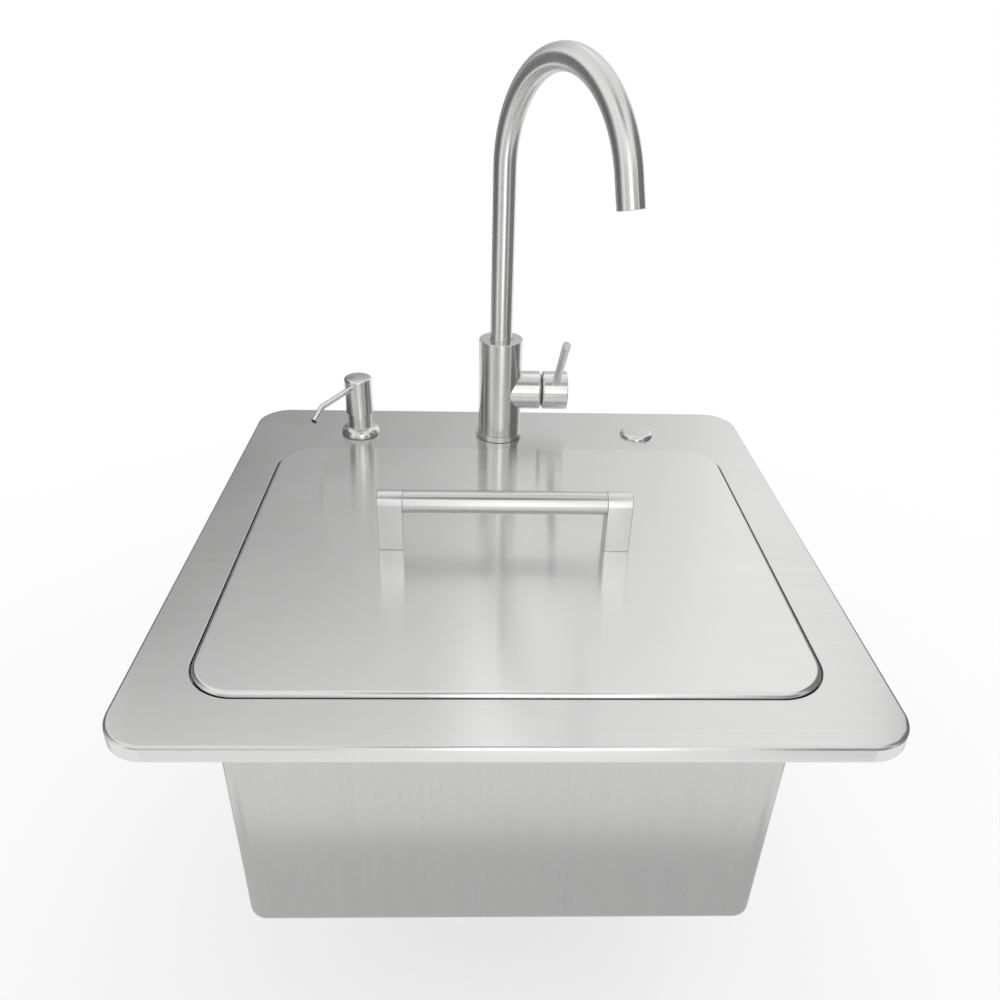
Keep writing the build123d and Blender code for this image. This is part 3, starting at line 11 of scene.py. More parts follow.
import bmesh
import bpy
from bpy.props import FloatProperty, FloatVectorProperty, PointerProperty
from mathutils import Matrix, Vector


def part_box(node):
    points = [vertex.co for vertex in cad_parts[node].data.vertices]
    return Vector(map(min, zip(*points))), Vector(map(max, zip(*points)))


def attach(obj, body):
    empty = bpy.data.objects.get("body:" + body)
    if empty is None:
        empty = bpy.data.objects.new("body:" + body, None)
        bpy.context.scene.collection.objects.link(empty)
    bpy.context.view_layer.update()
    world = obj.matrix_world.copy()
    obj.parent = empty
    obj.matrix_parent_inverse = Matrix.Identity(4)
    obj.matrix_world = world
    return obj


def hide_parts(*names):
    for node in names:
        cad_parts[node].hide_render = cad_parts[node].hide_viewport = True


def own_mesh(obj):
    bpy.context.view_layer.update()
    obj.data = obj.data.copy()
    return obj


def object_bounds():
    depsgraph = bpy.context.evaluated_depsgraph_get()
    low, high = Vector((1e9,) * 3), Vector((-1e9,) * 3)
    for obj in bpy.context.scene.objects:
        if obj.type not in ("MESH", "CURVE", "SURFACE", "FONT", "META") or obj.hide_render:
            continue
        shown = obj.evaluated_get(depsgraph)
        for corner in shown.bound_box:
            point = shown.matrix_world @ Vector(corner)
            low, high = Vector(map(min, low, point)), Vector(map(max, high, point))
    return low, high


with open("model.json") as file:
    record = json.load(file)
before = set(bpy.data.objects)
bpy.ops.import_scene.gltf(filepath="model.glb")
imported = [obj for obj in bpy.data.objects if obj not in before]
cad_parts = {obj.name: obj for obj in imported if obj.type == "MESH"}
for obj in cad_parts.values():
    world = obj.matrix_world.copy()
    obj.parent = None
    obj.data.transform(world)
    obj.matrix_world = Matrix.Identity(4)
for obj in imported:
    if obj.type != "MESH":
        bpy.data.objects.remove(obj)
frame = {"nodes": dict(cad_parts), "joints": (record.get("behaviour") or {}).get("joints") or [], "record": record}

bl_info = {
    "name": "Outdoor Sink",
    "version": (1, 0, 0),
    "blender": (4, 5, 0),
    "location": "View3D > Sidebar > Sink",
    "description": "Builds a drop-in outdoor sink with its tap, lid and soap dispenser",
    "category": "Add Mesh",
}

MM = 0.001
cad_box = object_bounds()

# Places read from the frame
rim_low, rim_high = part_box("deck_rim")
bowl_low, bowl_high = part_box("bowl")
lid_low, lid_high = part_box("lid")
drain_low, drain_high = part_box("tailpiece")
cover_low, cover_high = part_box("hole_cover")
joint_of = {joint["name"]: joint for joint in frame["joints"]}
tap_centre = Vector(joint_of["spout_swivel"]["pos_m"]) * Vector((1, 1, 0))
soap_centre = Vector(joint_of["nozzle_swivel"]["pos_m"]) * Vector((1, 1, 0))
tilt_axis = Vector(joint_of["lever_tilt"]["axis"])
lever_up = Vector((0, -tilt_axis.z, tilt_axis.y))
branch_centre = Vector((0, tap_centre.y, joint_of["lever_turn"]["pos_m"][2]))
lid_middle = (lid_low + lid_high) / 2
cover_centre = (cover_low + cover_high) / 2 * Vector((1, 1, 0))
drain_centre = (drain_low + drain_high) / 2 * Vector((1, 1, 0))
up = Vector((0, 0, 1))
right = Vector((1, 0, 0))
back = Vector((0, 1, 0))


def length(name, description, default_mm):
    """A size in metres, shown as a length in the sidebar."""
    return FloatProperty(name=name, description=description, default=default_mm * MM, unit="LENGTH")


def turn(name, description, default_degrees):
    """An angle, shown in degrees in the sidebar."""
    return FloatProperty(
        name=name, description=description, default=radians(default_degrees), unit="ROTATION"
    )


def metal_colour(name, description, default):
    """A colour, shown as a swatch in the sidebar."""
    return FloatVectorProperty(
        name=name, description=description, default=default, size=3, subtype="COLOR"
    )


class SinkSheetSettings(bpy.types.PropertyGroup):
    """Sizes of the folded and pressed sheet pieces."""

    sheet: length("Sheet", "Thickness of the rim and lid sheet", 1.5)
    bowl_sheet: length("Bowl sheet", "Thickness of the bowl", 1.2)
    rim_corner: length("Rim corner", "Corner radius of the rim outline", 32.0)
    fold: length("Rim fold", "Radius of the fold at the rim's edge", 2.5)
    opening_width: length("Opening width", "Width of the opening that the lid sits in", 450.0)
    opening_depth: length("Opening depth", "Depth of the opening that the lid sits in", 372.2)
    opening_corner: length("Opening corner", "Corner radius of the opening", 38.0)
    opening_edge: length("Opening edge", "Radius of the fold round the opening", 0.8)
    lid_corner: length("Lid corner", "Corner radius of the lid", 36.0)
    lid_fold: length("Lid fold", "Radius of the fold at the lid's edge", 3.5)
    bowl_width: length("Bowl width", "Outer width of the bowl's walls", 424.0)
    bowl_depth: length("Bowl depth", "Outer depth of the bowl's walls", 348.0)
    bowl_corner: length("Bowl corner", "Outer radius of the bowl's upright corners", 15.0)
    bowl_heel: length("Bowl heel", "Outer radius between the bowl's walls and floor", 11.0)
    bowl_lip: length("Bowl lip", "Radius of the fold at the bowl's mouth", 1.0)
    drain_recess: length("Drain recess", "Radius of the recess in the bowl's floor", 60.0)
    drain_step: length("Drain step", "Depth of the recess in the bowl's floor", 5.0)
    drain_hole: length("Drain hole", "Radius of the hole for the strainer", 45.0)


class SinkFittingSettings(bpy.types.PropertyGroup):
    """Sizes of the tap, the dispenser and the handle."""

    barrel: length("Barrel", "Radius of the tap's barrel", 22.5)
    barrel_foot: length("Barrel foot", "Height at which the barrel starts", 18.0)
    barrel_top: length("Barrel top", "Height of the barrel's top", 120.5)
    base_ring: length("Base ring", "Radius of the ring under the barrel", 25.0)
    branch: length("Branch", "Radius of the tap's side branch", 20.0)
    branch_end: length("Branch end", "Where the branch ends, from the tap's axis", 43.0)
    cap_start: length("Cap start", "Where the lever cap starts, from the tap's axis", 44.0)
    cap_end: length("Cap end", "Where the lever cap ends, from the tap's axis", 70.6)
    tube: length("Tube", "Radius of the spout's tube", 11.1)
    tube_wall: length("Tube wall", "Wall of the spout's tube", 1.2)
    bend: length("Bend", "Radius of the spout's bend", 98.5)
    bend_height: length("Bend height", "Height at which the spout's bend starts", 285.5)
    bend_angle: turn("Bend angle", "Angle of the spout's bend", 165.0)
    tip_run: length("Tip run", "Straight run at the spout's end", 25.7)
    spout_turn: turn("Spout turn", "How far the spout is turned to the right", 26.9)
    rod: length("Rod", "Radius of the lever rod", 4.0)
    rod_length: length("Rod length", "Length of the lever rod outside its cap", 87.0)
    rod_lean: turn("Rod lean", "How far the lever rod leans to the right", 1.3)
    bar: length("Bar", "Radius of the handle bar", 10.0)
    post_spacing: length("Post spacing", "Distance between the middles of the handle posts", 192.0)
    post_width: length("Post width", "Width of a handle post", 21.0)
    post_depth: length("Post depth", "Depth of a handle post", 20.5)
    bar_height: length("Bar height", "Height of the bar's axis above the lid", 42.0)
    nozzle: length("Nozzle", "Radius of the soap nozzle", 2.8)
    nozzle_turn: turn("Nozzle turn", "How far the nozzle is turned to the front", 65.0)


class SinkFinishSettings(bpy.types.PropertyGroup):
    """Colours and roughness of the metal."""

    steel: metal_colour("Steel", "Colour of the brushed steel", (0.755, 0.755, 0.75))
    lid_steel: metal_colour("Lid steel", "Colour of the lid's finer steel", (0.795, 0.795, 0.79))
    # The bowl's steel is darker than the deck's: partly its duller finish, partly painted shade for the darker
    # surroundings that its walls reflect.
    bowl_steel: metal_colour("Bowl steel", "Colour of the bowl's duller steel", (0.61, 0.61, 0.605))
    # The handle's steel is darker than the deck's: painted shade for the shaded underside of the bar.
    handle_steel: metal_colour("Handle steel", "Colour of the handle bar", (0.67, 0.67, 0.665))
    # The nozzle's steel is lighter than the deck's: painted light for the nozzle's bright underside.
    nozzle_steel: metal_colour("Nozzle steel", "Colour of the soap nozzle", (0.88, 0.88, 0.875))
    brass: metal_colour("Brass", "Colour of the turned brass", (0.75, 0.57, 0.30))
    roughness: FloatProperty(
        name="Roughness", description="Roughness of the brushed steel", default=0.24,
        subtype="FACTOR", min=0.0, max=1.0,
    )


# Mesh helpers
merge_reach = 1e-6
sharp_angle = radians(38)


def stage_object(bm, name, material):
    """Puts a bmesh into the scene as an object with one material."""
    mesh = bpy.data.meshes.new(name)
    bm.to_mesh(mesh)
    bm.free()
    mesh.materials.append(material)
    made = bpy.data.objects.new(name, mesh)
    bpy.context.scene.collection.objects.link(made)
    return made


def finish_mesh(bm, name, finish, body, slot, *replaced):
    """Turns a bmesh into a piece that rides on its body and stands for its nodes."""
    piece = stage_object(bm, name, bpy.data.materials[finish])
    piece.data.shade_smooth()
    piece.data.set_sharp_from_angle(angle=sharp_angle)
    shading = piece.modifiers.new("shading", "WEIGHTED_NORMAL")
    shading.keep_sharp = True
    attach(piece, body)
    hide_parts(*replaced)
    return piece


def rounded_face(bm, width, depth, corner, centre, height, segments=14):
    """A flat face with round corners, made from a square with its corners bevelled."""
    corners = bmesh.ops.create_grid(bm, x_segments=1, y_segments=1, size=0.5)["verts"]
    bmesh.ops.scale(bm, verts=corners, vec=(width, depth, 1))
    bmesh.ops.translate(bm, verts=corners, vec=(centre.x, centre.y, height))
    made = bmesh.ops.bevel(
        bm, geom=corners, offset=corner, offset_type="OFFSET", segments=segments, profile=0.5,
        affect="VERTICES", material=-1,
    )["verts"]
    return made[0].link_faces[0]


def round_face(bm, radius, centre, height, facets):
    """A flat round face."""
    place = Matrix.Translation((centre.x, centre.y, height))
    made = bmesh.ops.create_circle(bm, cap_ends=True, radius=radius, segments=facets, matrix=place)
    return made["verts"][0].link_faces[0]


def ring(bm, face, inward, rise):
    """Insets a face and moves it along +Z, and leaves a band of faces round it."""
    bmesh.ops.inset_individual(bm, faces=[face], thickness=inward, depth=0, use_even_offset=True)
    bmesh.ops.translate(bm, verts=face.verts[:], vec=(0, 0, rise))


def quarter(bm, face, steps, reach):
    """Follows a quarter round. reach gives how far in and how far up it is at an angle."""
    last = (0.0, 0.0)
    for step in range(1, steps + 1):
        here = reach(pi / 2 * step / steps)
        ring(bm, face, here[0] - last[0], here[1] - last[1])
        last = here


def fold_flat(bm, face, radius, side, steps=6):
    """Folds from upright to flat: side is 1 going up and -1 going down."""
    quarter(bm, face, steps, lambda a: (radius * (1 - cos(a)), side * radius * sin(a)))


def fold_down(bm, face, radius, steps=6):
    """Folds from flat to upright, down into an opening."""
    quarter(bm, face, steps, lambda a: (radius * sin(a), radius * (cos(a) - 1)))


def folded_outline(bm, low, high, grow, corner, fold, centre, steps):
    """Follows a sheet's outline up from its foot and round its fold, and returns the top face."""
    span = high - low
    face = rounded_face(bm, span.x - 2 * grow, span.y - 2 * grow, corner - grow, centre, low.z)
    ring(bm, face, 0, high.z - grow - fold + grow - low.z)
    fold_flat(bm, face, fold - grow, 1, steps)
    return face


def open_up(bm, face):
    """Takes a face out and leaves its edges."""
    bmesh.ops.delete(bm, geom=[face], context="FACES_ONLY")


def open_edges(bm, test):
    """The edges with a free side whose ends pass a test."""
    return [
        edge for edge in bm.edges
        if len(edge.link_faces) < 2 and all(test(vert.co) for vert in edge.verts)
    ]


def at_height(height):
    """A test for points at one height."""
    return lambda point: abs(point.z - height) < 0.01 * MM


def fill_flat(bm, height):
    """Fills between all the open loops at one height."""
    bmesh.ops.triangle_fill(bm, use_beauty=True, edges=open_edges(bm, at_height(height)), normal=up)


def bridge(bm, test):
    """Joins the two open loops whose points pass a test."""
    bmesh.ops.bridge_loops(bm, edges=open_edges(bm, test))


def closed_up(bm):
    """Merges doubles and turns every face outwards."""
    bmesh.ops.remove_doubles(bm, verts=bm.verts[:], dist=merge_reach)
    bmesh.ops.recalc_face_normals(bm, faces=bm.faces[:])
    return bm


def arc(centre_radius, centre_height, radius, start, end, steps=8):
    """Points of a profile along an arc. Angles are in degrees from the outward direction."""
    turns = [radians(start + (end - start) * step / steps) for step in range(steps + 1)]
    return [(centre_radius + radius * cos(a), centre_height + radius * sin(a)) for a in turns]


def turned(profile, closed=False, facets=96, edge=0.0, edge_angle=25.0):
    """A bmesh turned about Z from radius and height pairs in millimetres, its hard edges eased."""
    bm = bmesh.new()
    verts = [bm.verts.new((radius * MM, 0, height * MM)) for radius, height in profile]
    edges = [bm.edges.new(pair) for pair in zip(verts, verts[1:])]
    if closed:
        edges.append(bm.edges.new((verts[-1], verts[0])))
    bmesh.ops.spin(
        bm, geom=verts + edges, cent=(0, 0, 0), axis=(0, 0, 1), angle=2 * pi, steps=facets,
        use_merge=True,
    )
    closed_up(bm)
    if edge:
        ease(bm, edge, edge_angle)
    return bm


def ease(bm, edge, edge_angle=25.0, segments=3):
    """Bevels every edge that turns by more than an angle."""
    hard = [
        item for item in bm.edges
        if len(item.link_faces) == 2 and item.calc_face_angle(0) > radians(edge_angle)
    ]
    bmesh.ops.bevel(
        bm, geom=hard, offset=edge * MM, segments=segments, profile=0.5, affect="EDGES",
        material=-1, clamp_overlap=True,
    )
    bmesh.ops.remove_doubles(bm, verts=bm.verts[:], dist=merge_reach)


def stand(bm, centre, axis=up):
    """Stands what was made about Z on another axis, and moves it to its centre."""
    swing = up.rotation_difference(Vector(axis).normalized()).to_matrix()
    bmesh.ops.rotate(bm, verts=bm.verts[:], cent=(0, 0, 0), matrix=swing)
    bmesh.ops.translate(bm, verts=bm.verts[:], vec=centre)
    return bm


def only_verts(geometry):
    """The vertices in an operator's result."""
    return [item for item in geometry if isinstance(item, bmesh.types.BMVert)]


def only_faces(geometry):
    """The faces in an operator's result."""
    return [item for item in geometry if isinstance(item, bmesh.types.BMFace)]


def run_on(bm, faces, step):
    """Extrudes a region of faces and returns the new faces."""
    made = bmesh.ops.extrude_face_region(bm, geom=faces)["geom"]
    bmesh.ops.translate(bm, verts=only_verts(made), vec=step)
    return only_faces(made)


def route_end(heading, toward, start, first_run, bend, angle, last_run):
    """Where a straight run, a bend and a last run end, and the direction there."""
    away = heading * cos(angle) + toward * sin(angle)
    centre = start + heading * first_run + toward * bend
    return centre + heading * bend * sin(angle) - toward * bend * cos(angle) + away * last_run, away


def bent_tube(radius, wall, route, facets, steps):
    """A closed tube with a wall: a flat ring swept along the route, as route_end takes it."""
    heading, toward, start, first_run, bend, angle, last_run = route
    bm = bmesh.new()
    pair = [bm.verts.new((reach, 0, 0)) for reach in (radius - wall, radius)]
    bmesh.ops.spin(
        bm, geom=[*pair, bm.edges.new(pair)], cent=(0, 0, 0), axis=(0, 0, 1), angle=2 * pi,
        steps=facets, use_merge=True,
    )
    stand(bm, start, heading)
    run_end = run_on(bm, bm.faces[:], heading * first_run)
    centre = start + heading * first_run + toward * bend
    made = bmesh.ops.spin(
        bm, geom=run_end, cent=centre, axis=heading.cross(toward), angle=angle, steps=steps
    )["geom_last"]
    bend_end = only_faces(made)
    run_on(bm, bend_end, (heading * cos(angle) + toward * sin(angle)) * last_run)
    inside = [face for face in (*run_end, *bend_end) if face.is_valid]
    bmesh.ops.delete(bm, geom=inside, context="FACES")
    closed_up(bm)
    mark_run(bm, heading, toward, start + heading * first_run, centre, angle)
    return bm


def mark_run(bm, heading, toward, bend_start, centre, angle):
    """Stores at each point the direction of the tube and the distance along it."""
    along = bm.verts.layers.float_vector.new("along")
    run = bm.verts.layers.float.new("run")
    reach = (centre - bend_start).length
    for vert in bm.verts:
        rise = (vert.co - centre).dot(heading)
        out = (vert.co - centre).dot(toward)
        swing = min(max(atan2(rise, -out), 0.0), angle)
        if rise < 0 and out < 0:
            swing = 0.0
        vert[along] = heading * cos(swing) + toward * sin(swing)
        vert[run] = swing * reach + (vert.co - centre).dot(vert[along])


# Materials


class Finish:
    """Short names for the nodes of one procedural material."""

    def __init__(self, name):
        self.material = bpy.data.materials.get(name) or bpy.data.materials.new(name)
        self.material.use_nodes = True
        self.tree = self.material.node_tree
        self.tree.nodes.clear()
        self.shader = self.node("BsdfPrincipled")
        self.out = self.node("OutputMaterial", {"Surface": self.shader.outputs["BSDF"]})

    def node(self, kind, inputs=None, **settings):
        """A node, with its settings and its inputs."""
        made = self.tree.nodes.new("ShaderNode" + kind)
        for key, value in settings.items():
            setattr(made, key, value)
        self.put(inputs or {}, made)
        return made

    def put(self, inputs, node=None):
        """Links or sets the inputs of a node, or else of the shader."""
        for socket, value in inputs.items():
            target = (node or self.shader).inputs[socket]
            if isinstance(value, bpy.types.NodeSocket):
                self.tree.links.new(value, target)
            else:
                target.default_value = value

    def place(self, stretch=(1, 1, 1)):
        """Object coordinates, stretched."""
        where = self.node("TexCoord").outputs["Object"]
        return self.node("Mapping", {"Vector": where, "Scale": stretch}).outputs["Vector"]

    def noise(self, where, scale=1.0, detail=2.0, roughness=0.5):
        inputs = {"Vector": where, "Scale": scale, "Detail": detail, "Roughness": roughness}
        return self.node("TexNoise", inputs).outputs["Fac"]

    def maths(self, operation, first, second):
        return self.node("Math", {0: first, 1: second}, operation=operation).outputs["Value"]

    def spread(self, value, low, high, from_low=0.3, from_high=0.7):
        """Maps a noise value to a range."""
        inputs = {
            "Value": value, "From Min": from_low, "From Max": from_high, "To Min": low,
            "To Max": high,
        }
        return self.node("MapRange", inputs).outputs["Result"]

    def fade(self, value, start, end, lowest=0.0):
        """A soft step from its lowest value at the start to 1 at the end."""
        inputs = {"Value": value, "From Min": start, "From Max": end, "To Min": lowest}
        made = self.node("MapRange", inputs, interpolation_type="SMOOTHSTEP")
        return made.outputs["Result"]

    def shade(self, colour, value, depth):
        """A colour that a noise value darkens by up to a depth."""
        inputs = {
            "Factor": self.spread(value, 0, 1), "A": (*colour, 1),
            "B": (*(channel * (1 - depth) for channel in colour), 1),
        }
        return self.node("Mix", inputs, data_type="RGBA").outputs["Result"]

    def uneven(self, roughness, fine, swing, blotch):
        """A roughness that changes with the brush lines and a little in blotches."""
        lines = self.spread(fine, roughness - swing, roughness + swing)
        return self.maths("ADD", lines, self.spread(blotch, -0.015, 0.015))

    def dents(self, height, distance, below=None):
        """A bump from a height, on top of another bump."""
        inputs = {"Height": height, "Distance": distance, "Strength": 1.0}
        if below:
            inputs["Normal"] = below
        return self.node("Bump", inputs).outputs["Normal"]

    def aim(self, source):
        """Sets the direction in which highlights stretch, from a vector on the object."""
        made = self.node(
            "VectorTransform", {"Vector": source}, vector_type="VECTOR", convert_from="OBJECT",
            convert_to="WORLD",
        )
        self.put({"Tangent": made.outputs["Vector"]})

    def glow(self, surface):
        """Puts a surface of its own light in place of the shader, and returns the material."""
        self.put({"Surface": surface}, self.out)
        self.material.cycles.emission_sampling = "NONE"
        return self.material


def brushed_metal(name, colour, roughness, brush, along, anisotropic, wave=0.0, depth=0.02):
    """Metal with fine brush lines. brush holds the lines' frequency along X, Y and Z, per metre."""
    finish = Finish(name)
    broad_brush = tuple(value * 0.23 for value in brush)
    fine = finish.noise(finish.place(brush), detail=3.0, roughness=0.6)
    broad = finish.noise(finish.place(broad_brush))
    blotch = finish.noise(finish.place(), scale=9.0)
    relief = finish.dents(fine, 0.004 * MM)
    relief = finish.dents(broad, 0.002 * MM, relief)
    if wave:
        swell = finish.noise(finish.place(), scale=7.0, detail=1.0)
        relief = finish.dents(swell, wave * MM, relief)
    finish.put({
        "Metallic": 1.0, "Anisotropic": anisotropic, "Normal": relief,
        "Base Color": finish.shade(colour, broad, depth),
        "Roughness": finish.uneven(roughness, fine, 0.02, blotch),
    })
    finish.aim(finish.node("CombineXYZ", dict(zip("XYZ", along))).outputs["Vector"])


def tube_metal(name, colour, roughness):
    """Metal of a bent tube, with brush lines that go round it all along its bend."""
    finish = Finish(name)
    run = finish.node("Attribute", attribute_name="run").outputs["Fac"]
    lines = finish.node("CombineXYZ", {"X": finish.maths("MULTIPLY", run, 900.0)})
    fine = finish.noise(lines.outputs["Vector"], detail=3.0, roughness=0.6)
    blotch = finish.noise(finish.place(), scale=12.0)
    finish.put({
        "Metallic": 1.0, "Anisotropic": 0.9, "Normal": finish.dents(fine, 0.003 * MM),
        "Base Color": finish.shade(colour, fine, 0.05),
        "Roughness": finish.uneven(roughness, fine, 0.03, blotch),
    })
    finish.aim(finish.node("Attribute", attribute_name="along").outputs["Vector"])


def moulded(name, colour, roughness, depth=0.06, grain=900.0, relief=0.02, clear=0.0):
    """Rubber, fibre or plastic with a fine grain and a slight change of shade."""
    finish = Finish(name)
    where = finish.place()
    fine = finish.noise(where, scale=grain)
    blotch = finish.noise(where, scale=40.0, detail=3.0)
    finish.put({
        "Base Color": finish.shade(colour, blotch, depth), "Transmission Weight": clear,
        "Roughness": finish.spread(fine, roughness - 0.05, roughness + 0.05),
        "Normal": finish.dents(fine, relief * MM),
    })


def make_materials(settings):
    """Every finish of the object, most of them under the name of their slot."""
    steel = settings.steel
    rough = settings.roughness
    fine = rough - 0.03
    dull = rough + 0.03
    brushed_metal("deck_steel", steel, rough, (7, 1100, 1100), back, 0.9, 0.05)
    brushed_metal("lid_steel", settings.lid_steel, fine, (6, 1500, 1500), back, 1.0, 0.12, 0.01)
    brushed_metal("bowl_steel", settings.bowl_steel, dull, (900, 900, 6), right, 0.9, 0.1, 0.03)
    brushed_metal("handle_steel", settings.handle_steel, fine, (1200, 9, 9), right, 0.9)
    brushed_metal("post_steel", steel, rough, (1200, 1200, 9), back, 0.4)
    brushed_metal("tap_steel", steel, fine, (6, 6, 1200), up, 0.9)
    brushed_metal("branch_steel", steel, fine, (1200, 6, 6), right, 0.9)
    brushed_metal("rod_steel", steel, fine, (1200, 20, 20), lever_up, 0.9)
    brushed_metal("soap_steel", steel, fine, (6, 6, 1200), up, 0.9)
    brushed_metal("cover_steel", steel, rough - 0.06, (6, 900, 900), back, 0.5)
    brushed_metal("strainer_steel", steel, rough - 0.07, (60, 60, 900), up, 0.3)
    brushed_metal("fastener_steel", steel, rough, (300, 300, 300), up, 0.0)
    brushed_metal("turned_brass", settings.brass, dull, (40, 40, 1400), up, 0.4)
    tube_metal("tube_steel", steel, rough + 0.02)
    tube_metal("nozzle_steel", settings.nozzle_steel, rough)
    moulded("black_rubber", (0.035, 0.035, 0.037), 0.62, depth=0.25)
    moulded("fibre", (0.42, 0.31, 0.20), 0.8, depth=0.25, grain=500.0, relief=0.05)
    moulded("white_plastic", (0.82, 0.82, 0.80), 0.42)
    moulded("grey_plastic", (0.30, 0.31, 0.33), 0.45)
    moulded("bottle_plastic", (0.86, 0.87, 0.86), 0.38, clear=0.55)
    moulded("ceramic", (0.88, 0.88, 0.86), 0.18, depth=0.04, relief=0.004)


# Operators, one for each piece or group of like pieces


class SINK_OT_finishes(bpy.types.Operator):
    """Makes the finishes and puts them on the nodes of the frame."""

    bl_idname = "sink.finishes"
    bl_label = "Finishes"

    def execute(self, context):
        make_materials(context.scene.sink_finish)
        slots = {row["node"]: row["material_slot"] for row in frame["record"]["subparts"]}
        for name, node in frame["nodes"].items():
            node.data.materials.clear()
            node.data.materials.append(bpy.data.materials[slots[name]])
        return {"FINISHED"}


class SINK_OT_rim(bpy.types.Operator):
    """Makes the rim: a folded sheet with an opening for the lid and three round holes."""

    bl_idname = "sink.rim"
    bl_label = "Rim"

    def execute(self, context):
        sizes = context.scene.sink_sheet
        sheet = sizes.sheet
        middle = Vector((0, 0, 0))
        tap_hole = 17.5 * MM
        small_hole = 14 * MM
        holes = ((tap_centre, tap_hole), (soap_centre, small_hole), (cover_centre, small_hole))
        bm = bmesh.new()
        for grow in (0.0, sheet):
            top = rim_high.z - grow
            open_up(bm, folded_outline(
                bm, rim_low, rim_high, grow, sizes.rim_corner, sizes.fold, middle, steps=6
            ))
            edge = 0.0 if grow else sizes.opening_edge
            face = rounded_face(
                bm, sizes.opening_width + 2 * (grow + edge),
                sizes.opening_depth + 2 * (grow + edge), sizes.opening_corner + grow + edge,
                lid_middle, top,
            )
            if edge:
                fold_down(bm, face, edge)
            ring(bm, face, 0, bowl_high.z - top + edge)
            open_up(bm, face)
            if not grow:
                for centre, radius in holes:
                    face = round_face(bm, radius, centre, top, facets=48)
                    ring(bm, face, 0, -sheet)
                    open_up(bm, face)
            fill_flat(bm, top)
        for height in (rim_low.z, bowl_high.z):
            fill_flat(bm, height)
        finish_mesh(closed_up(bm), "rim_sheet", "deck_steel", "sink", "deck_steel", "deck_rim")
        return {"FINISHED"}


class SINK_OT_lid(bpy.types.Operator):
    """Makes the lid: a shallow folded tray, open below."""

    bl_idname = "sink.lid"
    bl_label = "Lid"

    def execute(self, context):
        sizes = context.scene.sink_sheet
        flat_band = 1 * MM
        bm = bmesh.new()
        for grow in (0.0, sizes.sheet):
            face = folded_outline(
                bm, lid_low, lid_high, grow, sizes.lid_corner, sizes.lid_fold, lid_middle, steps=8
            )
            ring(bm, face, flat_band, 0)
        fill_flat(bm, lid_low.z)
        finish_mesh(closed_up(bm), "lid_sheet", "lid_steel", "lid_unit", "lid_steel", "lid")
        return {"FINISHED"}


class SINK_OT_bowl(bpy.types.Operator):
    """Makes the bowl: a deep pressing with a flange, a heel radius and a recess for the drain."""

    bl_idname = "sink.bowl"
    bl_label = "Bowl"

    def execute(self, context):
        sizes = context.scene.sink_sheet
        sheet = sizes.bowl_sheet
        span = bowl_high - bowl_low
        corner = sizes.opening_corner + sizes.sheet
        floor = bowl_low.z + sizes.drain_step
        recess_edge = 1.5 * MM
        bm = bmesh.new()
        for inner in (sheet, 0.0):
            top = bowl_high.z - (sheet - inner)
            bottom = floor + inner
            lip = sizes.bowl_lip if inner else 0.0
            heel = sizes.bowl_heel - inner
            open_up(bm, rounded_face(bm, span.x, span.y, corner, lid_middle, top))
            face = rounded_face(
                bm, sizes.bowl_width - 2 * inner + 2 * lip, sizes.bowl_depth - 2 * inner + 2 * lip,
                sizes.bowl_corner - inner + lip, lid_middle, top,
            )
            if lip:
                fold_down(bm, face, lip)
            ring(bm, face, 0, bottom + heel - top + lip)
            fold_flat(bm, face, heel, -1, steps=8)
            open_up(bm, face)
            recess = sizes.drain_recess + sheet - inner
            face = round_face(bm, recess + recess_edge, lid_middle, bottom, facets=96)
            fold_down(bm, face, recess_edge, steps=4)
            ring(bm, face, 0, 2 * recess_edge - sizes.drain_step)
            fold_flat(bm, face, recess_edge, -1, steps=4)
            ring(bm, face, recess - recess_edge - sizes.drain_hole, 0)
            open_up(bm, face)
            fill_flat(bm, top)
            fill_flat(bm, bottom)
        bridge(bm, lambda point: point.z > 0)
        bridge(bm, lambda point: point.z < floor)
        finish_mesh(closed_up(bm), "bowl_pressing", "bowl_steel", "sink", "bowl_steel", "bowl")
        return {"FINISHED"}


class SINK_OT_handle(bpy.types.Operator):
    """Makes the handle: a round bar between two arched posts."""

    bl_idname = "sink.handle"
    bl_label = "Handle"

    def execute(self, context):
        sizes = context.scene.sink_fitting
        middle = Vector((lid_middle.x, lid_middle.y, lid_high.z + sizes.bar_height))
        half = (sizes.post_spacing - sizes.post_width) / 2 / MM
        bar = sizes.bar / MM
        profile = [(0, -half), (bar, -half), (bar, half), (0, half)]
        bm = stand(turned(profile, facets=64, edge=0.5), middle, right)
        finish_mesh(bm, "handle_rail", "handle_steel", "lid_unit", "handle_steel", "handle_bar")
        for side, node in ((-1, "handle_post_left"), (1, "handle_post_right")):
            bm = bmesh.new()
            foot = sizes.bar_height
            edge = [bm.verts.new((0, sizes.post_depth / 2, height)) for height in (-foot, 0.0)]
            bm.edges.new(edge)
            made = bmesh.ops.spin(
                bm, geom=[edge[1]], cent=(0, 0, 0), axis=(1, 0, 0), angle=pi, steps=24
            )["geom_last"]
            last = only_verts(made)[0]
            bm.edges.new((last, bm.verts.new((0, last.co.y, -foot))))
            bm.verts.ensure_lookup_table()
            closing = [vert for vert in bm.verts if len(vert.link_edges) == 1]
            bm.edges.new(closing)
            face = bmesh.ops.contextual_create(bm, geom=bm.edges[:])["faces"]
            made = bmesh.ops.extrude_face_region(bm, geom=face)["geom"]
            bmesh.ops.translate(bm, verts=only_verts(made), vec=(sizes.post_width, 0, 0))
            place = middle + right * (side * sizes.post_spacing / 2 - sizes.post_width / 2)
            bmesh.ops.translate(bm, verts=bm.verts[:], vec=place)
            closed_up(bm)
            ease(bm, 0.6, edge_angle=60)
            name = node.replace("handle_", "arched_")
            finish_mesh(bm, name, "post_steel", "lid_unit", "handle_steel", node)
        return {"FINISHED"}


